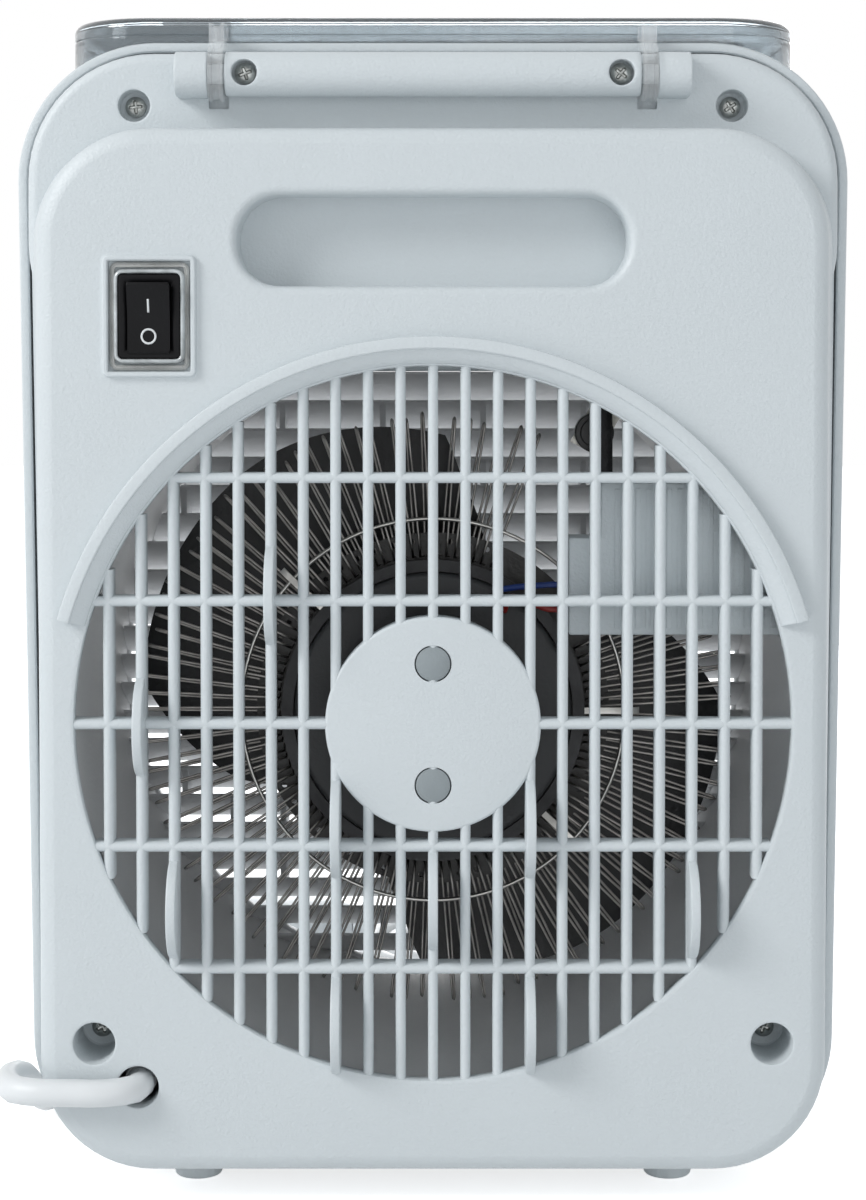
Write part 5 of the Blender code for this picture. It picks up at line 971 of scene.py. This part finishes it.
bezel_top = REAR - BEZEL_REACH
bezel_profile = [(-2.35, REAR + 4), (-2.35, bezel_top + 0.9), (-2.0, bezel_top + 0.35),
                 (-1.6, bezel_top + 0.1), (-1.2, bezel_top), (-0.6, bezel_top),
                 (-0.2, bezel_top + 0.15), (0, bezel_top + 0.5), (0, REAR + 0.5)]
bezel_outline = window(BEZEL_HALF_X, BEZEL_HALF_Z, BEZEL_CORNER)
bezel = build("switch_bezel", [carried(bezel_outline, bezel_profile),
                               filled(REAR + 4, bezel_outline(-2.35))], switch_black)
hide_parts("switch_body")
tilt = math.radians(ROCKER_TILT)


def tilted(points):
    """Rocker points, Y and Z from its axle, turned to its resting tilt and put in place."""
    x, y, z = points.T
    return np.stack([SWITCH_X + x, ROCKER_Y + y * math.cos(tilt) - z * math.sin(tilt),
                     SWITCH_Z + y * math.sin(tilt) + z * math.cos(tilt)], 1)


# The rocker's face is dished: it stands out by a power of the distance from its axle,
# and drops again at its two edges.
height = np.linspace(-1, 1, 33)
dish = -ROCKER_REACH * (0.55 + 0.45 * np.abs(height) ** 1.6)
dish += 0.5 * np.clip((np.abs(height) - 0.93) / 0.07, 0, 1) ** 2
rocker_view = np.stack([dish, height * ROCKER_HALF_Z], 1)[::-1]
rocker_view = np.vstack([rocker_view, [(4.5, -ROCKER_HALF_Z * 0.72), (5.5, 0),
                                       (4.5, ROCKER_HALF_Z * 0.72)]])
rocker_points, rocker_faces = prism(rocker_view, -ROCKER_HALF_X, ROCKER_HALF_X, 0.45)
rocker = build("rocker", [(tilted(rocker_points), rocker_faces)], switch_black, body="rocker",
               closed=True, sharp=40)
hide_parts("switch_rocker")
mark_white = finish("switch mark white", (0.75, 0.77, 0.78), 0.5, (300, 0.85))


def mark(across, along, middle_z):
    """Mark points across and along the rocker's face, laid just over its dished front."""
    z = middle_z + along
    face = -ROCKER_REACH * (0.55 + 0.45 * (np.abs(z) / ROCKER_HALF_Z) ** 1.6)
    return tilted(np.stack([across, face - 0.04, z], 1))


OFF_MARK_Z, ON_MARK_Z = -4.6, 2.9
off_ring = np.vstack([circle(0, 0, radius, 32) for radius in (1.45, 1.95)])
on_bar = np.stack(np.meshgrid([-0.25, 0.25], np.linspace(-1.7, 1.7, 9)), -1).reshape(-1, 2)
marks = build("switch_marks", [
    (mark(*off_ring.T, OFF_MARK_Z), quads(2, 32, flip=True)),
    (mark(*on_bar.T, ON_MARK_Z), quads(9, 2, around_columns=False, flip=True))],
    mark_white, body="rocker", wall=0.05)
seal_grey = finish("seal flange plastic", (0.52, 0.525, 0.51), 0.3, (160, 0.68), (260, 0.0004))
FLANGE, RIDGE = (9.75, 13.2, 1.8), (7.7, 10.5, 1.3)
boot_profile = [(-1.2, REAR + 0.4), (-1.2, REAR - 0.1), (-1.05, REAR - 0.3), (-0.8, REAR - 0.1),
                (-0.6, REAR - 0.1), (-0.45, REAR - 0.35), (-0.25, REAR - 0.1), (0, REAR + 0.1),
                (0.1, REAR + 0.4)]
boot = build("switch_seal", [carried(window(*FLANGE), boot_profile)], seal_grey)
# The ridge's pale, mottled colour is partly its own and partly a painted highlight, standing for
# the light that its clear plastic catches.
ridge_painted_highlight = finish("seal ridge plastic with painted highlight", (0.62, 0.66, 0.67), 0.1, (240, 0.55),
                     (300, 0.0002), more={"Coat Weight": 0.8, "Coat Roughness": 0.05})
ridge_profile = [(0, REAR + 0.4), (0, REAR - 1.35), (0.12, REAR - 1.7), (0.4, REAR - 1.85),
                 (0.7, REAR - 1.7), (0.95, REAR - 1.25), (1.1, REAR - 0.6), (1.15, REAR + 0.3)]
ridge = build("switch_seal_ridge", [carried(window(*RIDGE), ridge_profile)], ridge_painted_highlight)
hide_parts("switch_boot")
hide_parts("switch_boot")

# The hinge bar: a round white bar across the ledge, held by two screws in wells. Its
# pins run through the lid's arms into the knuckles. It is moulded, like the panel.
HALF_BAR, BAR_RADIUS, BAR_SCREW_X, BAR_WELL, WELL_MARGIN = 51.4, 5.5, 46.5, 3.2, 4.4
HINGE_PIN_RADIUS, HINGE_PIN_LENGTH = 2.4, 11


def bent(patch):
    """A flat patch of X and arc length wrapped round the hinge bar's back."""
    points, faces = patch
    turn = points[:, 2] / BAR_RADIUS
    return np.stack([points[:, 0], HINGE_Y - BAR_RADIUS * np.cos(turn),
                     HINGE_Z + BAR_RADIUS * np.sin(turn)], 1), faces


def bar_well(radius):
    """A round hole seen from behind, as X and arc length on the bar's back."""
    ring = circle(0, 0, radius, 40)
    return np.stack([BAR_SCREW_X + ring[:, 0], BAR_RADIUS * np.arcsin(ring[:, 1] / BAR_RADIUS)], 1)


# The stretch round a screw: the bar's back as a flat patch with a hole, wrapped round,
# then the well with its floor, and the bar's plain front half.
quarter_turn = BAR_RADIUS * np.pi / 2
rise = np.linspace(-quarter_turn, quarter_turn, 21)
edge_low, edge_high = BAR_SCREW_X - WELL_MARGIN, BAR_SCREW_X + WELL_MARGIN
frame_loop = np.vstack([np.stack([np.full(21, edge_high), rise], 1),
                        np.stack([np.full(21, edge_low), rise[::-1]], 1)])
across, along = np.meshgrid(np.linspace(edge_low, edge_high, 11)[1:-1], rise)
loose = np.stack([across.ravel(), along.ravel()], 1)
loose = loose[np.hypot(loose[:, 0] - BAR_SCREW_X,
                       BAR_RADIUS * np.sin(loose[:, 1] / BAR_RADIUS)) > BAR_WELL + 0.6]
round_patch = bent(filled(0, frame_loop, bar_well(BAR_WELL + 0.25), spots=loose))
wall_rows = []
for radius, sunk in ((BAR_WELL + 0.25, 0), (BAR_WELL + 0.08, 0.1), (BAR_WELL, 0.3)):
    ring = circle(0, 0, radius, 40)
    back = HINGE_Y - np.sqrt(BAR_RADIUS ** 2 - ring[:, 1] ** 2) + sunk
    wall_rows.append(np.stack([BAR_SCREW_X + ring[:, 0], back, HINGE_Z + ring[:, 1]], 1))
wall_rows.append(np.insert(circle(BAR_SCREW_X, HINGE_Z, BAR_WELL, 40), 1, HINGE_Y, axis=1))
well_wall = (np.vstack(wall_rows), quads(4, 40, flip=True))
well_floor = (wall_rows[-1], [list(range(40))])


def lathed(profile, y=HINGE_Y, z=HINGE_Z, sides=80):
    """X and radius carried round a level axis, that of the hinge where no other is given."""
    ring = 2 * np.pi * np.arange(sides) / sides
    x, radius = np.array(profile, float).T[:, :, None]
    points = np.stack([x + 0 * ring, y - radius * np.cos(ring), z + radius * np.sin(ring)], -1)
    return points.reshape(-1, 3), quads(len(profile), sides)


right_side = [round_patch, well_wall, well_floor]
front_half = 2 * np.pi * np.arange(20, 61) / 80
x_rows, turn_rows = np.meshgrid([edge_low, edge_high], front_half)
front_points = np.stack([x_rows, HINGE_Y - BAR_RADIUS * np.cos(turn_rows),
                         HINGE_Z + BAR_RADIUS * np.sin(turn_rows)], -1)
right_side.append((front_points.reshape(-1, 3), quads(41, 2, around_columns=False)))
bar_end = [(edge_high, BAR_RADIUS)] + [(HALF_BAR - drop, BAR_RADIUS - inset)
                                       for inset, drop in quarter(0.5, 3)[::-1]]
bar_end += [(HALF_BAR, HINGE_PIN_RADIUS), (HALF_BAR + HINGE_PIN_LENGTH, HINGE_PIN_RADIUS),
            (HALF_BAR + HINGE_PIN_LENGTH, 0.01)]
right_side.append(lathed(bar_end))
patches = right_side + [(points * (-1, 1, 1), [face[::-1] for face in faces])
                        for points, faces in right_side]
patches.append(lathed([(-edge_low, BAR_RADIUS), (edge_low, BAR_RADIUS)]))
hinge_bar = build("hinge_bar_moulding", patches, shell_white, closed=True, sharp=38)
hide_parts("hinge_bar")

# The lid's hinge arms: clear plastic, each a U of two thin plates and a web. Each has
# an eye round the hinge pin and a link that reaches forward to the lid.
ARM_INNER, ARM_OUTER, ARM_PLATE, ARM_RADIUS, EYE_BORE = 51.7, 55.5, 0.9, 6.8, 2.7
clear_hard = finish("clear plastic", (0.93, 0.95, 0.96), 0.1, (200, 0.9), (120, 0.0001),
                    more={"Alpha": 0.25})
LINK_LOW, LINK_HIGH, LINK_END = 291.3, 294.6, -38.8
around_eye = np.radians(np.arange(96, 377, 8))
arm_view = np.stack([HINGE_Y + ARM_RADIUS * np.cos(around_eye),
                     HINGE_Z + ARM_RADIUS * np.sin(around_eye)], 1)
arm_view = np.vstack([arm_view, [(HINGE_Y + ARM_RADIUS, 287), (HINGE_Y + ARM_RADIUS + 0.4, 290.4),
                                 (HINGE_Y + ARM_RADIUS + 1.4, LINK_LOW), (LINK_END, LINK_LOW),
                                 (LINK_END, LINK_HIGH), (HINGE_Y + 1.4, LINK_HIGH),
                                 (HINGE_Y - 0.6, 293.9)]])
web_view = (arm_view - (HINGE_Y, HINGE_Z)) * (0.86, 0.94) + (HINGE_Y, HINGE_Z)
eye = circle(HINGE_Y, HINGE_Z, EYE_BORE, 24)


def plate(view, low, high):
    """A thin plate between two X values, its side view triangulated round the hinge's eye."""
    loops = [view, eye]
    patches = []
    for x, back in ((low, False), (high, True)):
        points, faces = filled(0, *loops, backwards=back)
        patches.append((np.stack([x + 0 * points[:, 0], points[:, 0], points[:, 2]], 1), faces))
    for number, loop in enumerate(loops):
        walls = np.stack([np.insert(loop, 0, x, axis=1) for x in (low, high)])
        patches.append((walls.reshape(-1, 3), quads(2, len(loop), flip=number > 0)))
    return patches


for side, side_name in ((-1, "left"), (1, "right")):
    patches = plate(arm_view, ARM_INNER, ARM_INNER + ARM_PLATE)
    patches += plate(arm_view, ARM_OUTER - ARM_PLATE, ARM_OUTER)
    patches += plate(web_view, ARM_INNER + ARM_PLATE, ARM_OUTER - ARM_PLATE)
    patches = [(points * (side, 1, 1), faces) for points, faces in patches]
    arm = build("clear_arm_" + side_name, patches, clear_hard, body="lid", closed=True)
    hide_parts("lid_hinge_arm_" + side_name)

# The lid over the controls: smoked clear plastic, a shallow tray with a rounded top
# and a skirt that follows the housing's shoulders. It tips back on its two arms.
LID_WIDTH, LID_LOW, LID_HIGH, LID_CORNER = 187.0, -38.5, 40.5, 22.0
LID_TOP, LID_WALL, LID_SKIRT = 297.6, 2.0, 279.6
SHOULDER_X, SHOULDER_Z, SHOULDER_RADIUS = 70, 255.9, 35.35
smoked = finish("smoked clear plastic", (0.405, 0.445, 0.47), 0.05, (18, 0.93), (90, 0.00006),
                more={"Transmission Weight": 0.86, "IOR": 1.3, "Coat Weight": 0.5,
                      "Coat Roughness": 0.04})


def lid_ring(grow, z):
    """The lid's outline at a height, or along the housing's shoulders where they are higher."""
    outline = rounded(LID_WIDTH + 2 * grow, LID_LOW - grow, LID_HIGH + grow,
                      LID_CORNER + min(grow, 0), steps=16)
    corners = outline.reshape(4, -1, 2)
    sides = [np.linspace(corner[-1], following[0], points)[1:-1] for corner, following, points
             in zip(corners, np.roll(corners, -1, axis=0), (9, 33, 9, 33))]
    outline = np.vstack([part for pair in zip(corners, sides) for part in pair])
    past = np.clip(np.abs(outline[:, 0]) - SHOULDER_X, 0, 35)
    shoulder = SHOULDER_Z + np.sqrt(SHOULDER_RADIUS ** 2 - past ** 2)
    return np.insert(outline, 2, np.maximum(z, shoulder), axis=1)


# From the ceiling inside, down the skirt, round its edge and up to the top's round edge,
# with a fine groove under it.
rows = [(-LID_WALL - 0.8, 295.6), (-LID_WALL - 0.2, 295.4), (-LID_WALL, 294.8),
        (-LID_WALL, LID_SKIRT + 0.3), (-LID_WALL + 0.3, LID_SKIRT), (-0.3, LID_SKIRT),
        (0, LID_SKIRT + 0.3), (0, 292.6), (-0.45, 292.75), (-0.45, 293.1), (0, 293.25)]
rows += [(-inset, LID_TOP - drop) for inset, drop in quarter(2.5, 6)[::-1]] + [(-3.1, LID_TOP)]
rings = [lid_ring(grow, z) for grow, z in rows]
lid_faces = quads(len(rings), len(rings[0])) + ends(len(rings), len(rings[0]))
lid = build("smoked_lid", [(np.vstack(rings), lid_faces)], smoked, body="lid", closed=True,
            sharp=40)
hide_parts("lid")

# The screws: cross-headed steel screws at the bottom of their wells, two in the hinge
# bar and four that hold the housing together. The heads are domed and a little worn.
HEAD_RADIUS, HEAD_HEIGHT = 2.6, 1.8
screw_steel = finish("zinc screw steel", (0.45, 0.465, 0.45), 0.36, (500, 0.55),
                     (900, 0.00005), 1.0)


def screw(x, seat, z, turned_by):
    """A head as height over its seat by radius and angle: a dome less a tapered cross."""
    radius = np.r_[0.01, np.linspace(0.12, 2.0, 17), 2.25, 2.45, HEAD_RADIUS, HEAD_RADIUS,
                   1.4, 1.4, 0.01][:, None]
    angle = np.radians(np.arange(0, 360, 5))[None]
    dome = HEAD_HEIGHT - 0.75 * (radius / HEAD_RADIUS) ** 2.4
    arms = np.minimum(np.abs(np.sin(angle - turned_by)), np.abs(np.cos(angle - turned_by)))
    slot = np.clip((0.42 - radius * arms) / 0.14, 0, 1) * np.clip((1.75 - radius) / 0.35, 0, 1)
    height = dome - slot * (1.15 - 0.3 * radius)
    height[-4:] = np.array([0, 0, -4, -4])[:, None]
    points = np.stack([x + radius * np.cos(angle), seat - height, z + radius * np.sin(angle)], -1)
    return points.reshape(-1, 3), quads(*points.shape[:2])


bar_seat, top_seat, low_seat = HINGE_Y - 0.3, LEDGE + 5.2, REAR + LOW_WELL_DEPTH - 0.3
places = [("hinge_bar_screw_left", -BAR_SCREW_X, bar_seat, HINGE_Z, 0.35),
          ("hinge_bar_screw_right", BAR_SCREW_X, bar_seat, HINGE_Z, 0.9),
          ("housing_screw_top_left", -TOP_SCREW_X, top_seat, TOP_SCREW_Z, 0.1),
          ("housing_screw_top_right", TOP_SCREW_X, top_seat, TOP_SCREW_Z, 0.6),
          ("housing_screw_bottom_left", -LOW_SCREW_X, low_seat, LOW_SCREW_Z, 0.5),
          ("housing_screw_bottom_right", LOW_SCREW_X, low_seat, LOW_SCREW_Z, 1.2)]
for name, x, seat, z, turned_by in places:
    head = build("cross_" + name, [screw(x, seat, z, turned_by)], screw_steel, closed=True,
                 sharp=50)
    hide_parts(name)

# The two grey plugs that cover the motor screws in the hub, small soft-grey discs
# pressed in flush, with a fine chamfer.
plug_grey = finish("plug grey", (0.27, 0.305, 0.32), 0.5, (120, 0.9), (1000, 0.00004))
for name, side in (("lower", -1), ("upper", 1)):
    disc = build("hub_plug_" + name, [turned(
        [(0.01, REAR + 0.3), (4.0, REAR + 0.3), (4.25, REAR + 0.45), (4.3, REAR + 0.7),
         (4.3, REAR + 1.7), (0.01, REAR + 1.7)], z=GRILLE_Z + side * PLUG_OFFSET, sides=48)],
        plug_grey, closed=True)
    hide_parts("grille_plug_" + name)

# The control deck under the lid: a white tub that hangs in the housing's top by its
# flange, with holes for two knob shafts and a lamp lens.
DECK_X, DECK_LOW, DECK_HIGH, DECK_TOP = 68.0, -27.0, 29.0, 292.8
TUB_FLOOR, TUB_UNDER = 285.5, 283.9
KNOB_X, KNOB_Y, LAMP_Y = 32.0, 1.0, -17


def deck_outline(grow):
    """The deck's outline as X and Y, its corners rounded as far as its growth lets them."""
    return rounded(2 * (DECK_X + grow), DECK_LOW - grow, DECK_HIGH + grow,
                   max(0.4, 3.5 + grow), steps=6)


deck_profile = [(-4.9, TUB_UNDER), (-3.6, TUB_UNDER), (-3.3, 284.2), (-3.3, 291.2),
                (-0.2, 291.2), (0, 291.4), (0, 292.3), (-0.5, DECK_TOP), (-4.4, DECK_TOP),
                (-4.9, 292.3), (-4.9, 286.1), (-5.5, TUB_FLOOR)]
holes = [circle(side * KNOB_X, KNOB_Y, 3.3, 24) for side in (-1, 1)]
holes.append(circle(0, LAMP_Y, 3.2, 24))
patches = [level(carried(deck_outline, deck_profile)),
           level(filled(TUB_FLOOR, deck_outline(-5.5), *holes, backwards=True)),
           level(filled(TUB_UNDER, deck_outline(-4.9), *holes))]
for loop in holes:
    patches.append(level(carried(lambda grow: loop, [(0, TUB_UNDER), (0, TUB_FLOOR)],
                                 flip=True)))
deck = build("control_tub", patches, shell_white, closed=True)
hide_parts("control_deck")

# The two control knobs: grey moulded discs with a raised grip across them and a pale
# pointer line let into one end. The left one sets the mode and the right one the heat.
KNOB_RADIUS, KNOB_LOW, KNOB_HIGH, SHAFT_RADIUS = 13.0, 285.8, 293.2, 3
GRIP_LENGTH, GRIP_HALF, GRIP_CORNER = 11.7, 3.0, 2.2
POINTER_X, POINTER_STRETCH = 6.2, 4.5
knob_grey = finish("knob grey", (0.20, 0.205, 0.21), 0.42, (90, 0.85), (1000, 0.00005))
disc = [(0.01, KNOB_LOW - 8), (SHAFT_RADIUS, KNOB_LOW - 8), (SHAFT_RADIUS, KNOB_LOW),
        (KNOB_RADIUS - 0.4, KNOB_LOW), (KNOB_RADIUS, KNOB_LOW + 0.4),
        (KNOB_RADIUS - 0.5, KNOB_LOW + 2.4), (KNOB_RADIUS - 0.9, KNOB_LOW + 2.9),
        (0.01, KNOB_LOW + 3.1)]
grip_rows = [(0, KNOB_LOW + 2)] + [(inset, KNOB_HIGH - drop)
                                   for inset, drop in quarter(0.9, 4)[::-1]]


def upright(profile, x, y, sides=48):
    """Radius and height carried round an upright axis."""
    return level(turned(profile, x, y, sides))


for name, side, body in (("mode_knob", -1, "mode knob"),
                         ("thermostat_knob", 1, "thermostat knob")):
    x = side * KNOB_X
    centre = np.array([x, KNOB_Y])
    grip = rounded(2 * GRIP_LENGTH, KNOB_Y - GRIP_HALF, KNOB_Y + GRIP_HALF, GRIP_CORNER, steps=6,
                   x=x)
    rows = [np.insert(centre + (grip - centre) * (1 - inset / np.array([GRIP_LENGTH, GRIP_HALF])),
                      2, z, axis=1) for inset, z in grip_rows]
    patches = [upright(disc, x, KNOB_Y, 96),
               (np.vstack(rows), quads(len(rows), len(grip)) + ends(len(rows), len(grip)))]
    knob = build(name + "_moulding", patches, knob_grey, body=body, closed=True)
    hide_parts(name)
    points, faces = level(slab([(-0.5, -0.8), (0.5, -0.8), (0.5, 0.8), (-0.5, 0.8)],
                               KNOB_HIGH - 0.3, KNOB_HIGH + 0.05, 0.02, 0.1))
    points = np.stack([x + POINTER_X + points[:, 1] * POINTER_STRETCH, KNOB_Y + points[:, 0],
                       points[:, 2]], 1)
    pointer = build(name + "_pointer", [(points, faces)], mark_white, body=body, closed=True)

# The lamp lens: a small amber dome between the knobs that lights while the heater runs.
# It is tinted clear plastic, pressed into its hole in the deck.
amber = finish("amber lens", (0.65, 0.20, 0.02), 0.15, (200, 0.8),
               more={"Transmission Weight": 0.4})
dome = [(0.01, 284.0), (3, 284.0), (3, 285.8), (2.7, 286.2), (2.0, 286.45), (0.9, 286.5),
        (0.01, 286.5)]
lens = build("amber_lens", [upright(dome, 0, LAMP_Y)], amber, closed=True)
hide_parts("indicator_lens")

# Four round feet of pale rubber-like plastic, pushed into the housing's floor. Each is
# waisted, with a wider shoulder over a smaller sole.
FOOT_X, FOOT_REAR, FOOT_FRONT = 60.8, -31.5, 48.5
foot_pale = finish("pale foot plastic", (0.74, 0.79, 0.81), 0.6, (90, 0.93), (700, 0.0001))
foot_profile = [(0.01, 0.5), (4.0, 0.5), (4.3, 0), (5.7, 0), (6.0, 0.3), (6.15, 0.9),
                (6.3, 2.6), (6.5, 3.2), (6.5, 5.8), (6.3, 6.0), (2.9, 6.0), (2.9, 9.5),
                (0.01, 9.5)]
for side, side_name in ((-1, "left"), (1, "right")):
    for y, end_name in ((FOOT_REAR, "rear"), (FOOT_FRONT, "front")):
        foot = build(f"waisted_foot_{end_name}_{side_name}",
                     [upright(foot_profile, side * FOOT_X, y)], foot_pale, closed=True)
        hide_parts(f"foot_{end_name}_{side_name}")

# The plug on the cord's end: a moulded white two-pin plug with a finger waist and a
# ribbed strain relief that tapers along the cord. The pins are nickel-plated.
PLUG_END, PLUG_LENGTH, PLUG_Y = -28.9, 40, 213.75
PLUG_ROWS, PLUG_SIDES = 61, 64
PIN_SPACING, PIN_RADIUS, PIN_TIP = 9.5, 2.4, -88.2
RELIEF_RADIUS, RELIEF_TAPER, RELIEF_RIBS = 5.0, 1.2, 8
plug_white = finish("plug plastic", (0.66, 0.695, 0.715), 0.42, (60, 0.95), (900, 0.00006))
# The plug's sections are rounded rectangles, a power of cosine and of sine that gets
# squarer towards the face, with half widths and heights read along the plug.
along = np.array([0, 0.8, 2, 5, 10, 16, 22, 28, 34, 38, 39.4, 40])
half_wide = np.array([5.2, 5.8, 6.2, 7.6, 11.5, 14.2, 15.0, 15.8, 17.2, 18.0, 17.8, 17.0])
half_high = np.array([5.0, 5.6, 6.0, 6.8, 7.6, 7.9, 8.1, 8.6, 9.2, 9.5, 9.3, 8.6])
fine = np.linspace(0, PLUG_LENGTH, PLUG_ROWS)[:, None]
turn = 2 * np.pi * np.arange(PLUG_SIDES) / PLUG_SIDES
bulge = 2 / (2.2 + 1.6 * fine / PLUG_LENGTH)
across = np.sign(np.cos(turn)) * np.abs(np.cos(turn)) ** bulge * np.interp(fine, along, half_wide)
upwards = np.sign(np.sin(turn)) * np.abs(np.sin(turn)) ** bulge * np.interp(fine, along, half_high)
points = np.stack([PLUG_END - fine + 0 * across, PLUG_Y + across, PLUG_MIDDLE + upwards], -1)
faces = quads(PLUG_ROWS, PLUG_SIDES) + ends(PLUG_ROWS, PLUG_SIDES)
plug = build("plug_moulding", [(points.reshape(-1, 3), faces)], plug_white, closed=True)
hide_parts("plug_body")
relief_line = through(cord_line[-7:][::-1], 0.5)
share = np.linspace(0, 1, len(relief_line))
ribs = 0.35 * (np.sin(share * 2 * np.pi * RELIEF_RIBS) > 0)
sheath = build("plug_strain_relief",
               [tube(relief_line, RELIEF_RADIUS - RELIEF_TAPER * share + ribs, 28, (0, 0, 1))],
               plug_white, closed=True, sharp=50)
nickel = finish("nickel-plated pins", (0.66, 0.645, 0.61), 0.22, (200, 0.85), metallic=1.0)
pin_root = PLUG_END - PLUG_LENGTH + 0.2
pin_profile = [(pin_root, 0.01), (pin_root, PIN_RADIUS), (-86.6, PIN_RADIUS), (-87.4, 2.2),
               (-88.0, 1.6), (PIN_TIP, 0.8), (PIN_TIP, 0.01)]
for name, side in (("plug_pin_near", -1), ("plug_pin_far", 1)):
    pin = build("round_" + name, [lathed(pin_profile, PLUG_Y + side * PIN_SPACING, PLUG_MIDDLE,
                                         32)], nickel, closed=True)
    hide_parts(name)

# The gland that grips the cord where it enters: a grey tapered sleeve with rings round
# it, held in the hole's wall inside the panel.
GLAND_REAR, GLAND_LENGTH, GLAND_BORE, GLAND_RINGS = -53.0, 20.5, 3.4, 7
gland_grey = finish("gland grey rubber", (0.34, 0.345, 0.35), 0.6, (120, 0.85), (700, 0.0001))
share = np.linspace(0, 1, 41)
radius = 3.9 + 1.15 * share + 0.12 * (np.sin(share * 2 * np.pi * GLAND_RINGS) > 0)
gland_profile = [(GLAND_BORE, GLAND_REAR), *zip(radius, GLAND_REAR + GLAND_LENGTH * share),
                 (GLAND_BORE, GLAND_REAR + GLAND_LENGTH)]
gland = build("ringed_gland", [turned(gland_profile, CORD_X, CORD_RISE, 40, closed=True)],
              gland_grey, closed=True)
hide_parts("cord_gland")

# The pieces that stay as the frame has them get their real finishes: the motor's
# laminated steel, its shaft, screws and nut, the control bodies and brass terminals.
for node, name, colour, roughness, metallic, scale, darkest in (
        ("motor_body", "laminated motor steel", (0.30, 0.29, 0.28), 0.42, 1.0, 150, 0.6),
        ("motor_shaft", "ground shaft steel", (0.60, 0.60, 0.58), 0.2, 1.0, 300, 0.85),
        ("fan_nut", "nut steel", (0.50, 0.50, 0.48), 0.32, 1.0, 250, 0.75),
        ("motor_screw_lower", "motor screw steel", (0.42, 0.42, 0.40), 0.35, 1.0, 400, 0.6),
        ("motor_screw_upper", "motor screw steel two", (0.42, 0.42, 0.40), 0.35, 1.0, 400, 0.6),
        ("cutout_bracket", "clip steel", (0.55, 0.54, 0.50), 0.3, 1.0, 200, 0.7),
        ("thermostat_body", "thermostat body plastic", (0.02, 0.02, 0.021), 0.45, 0, 60, 0.6),
        ("mode_switch_body", "mode switch plastic", (0.02, 0.02, 0.021), 0.45, 0, 60, 0.6),
        ("switch_terminal_lower", "terminal brass", (0.60, 0.45, 0.18), 0.3, 1.0, 300, 0.7),
        ("switch_terminal_upper", "terminal brass two", (0.60, 0.45, 0.18), 0.3, 1.0, 300, 0.7)):
    made_of = finish(name, colour, roughness, (scale, darkest), (800, 0.00005), metallic)
    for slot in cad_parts[node].material_slots:
        slot.material = made_of
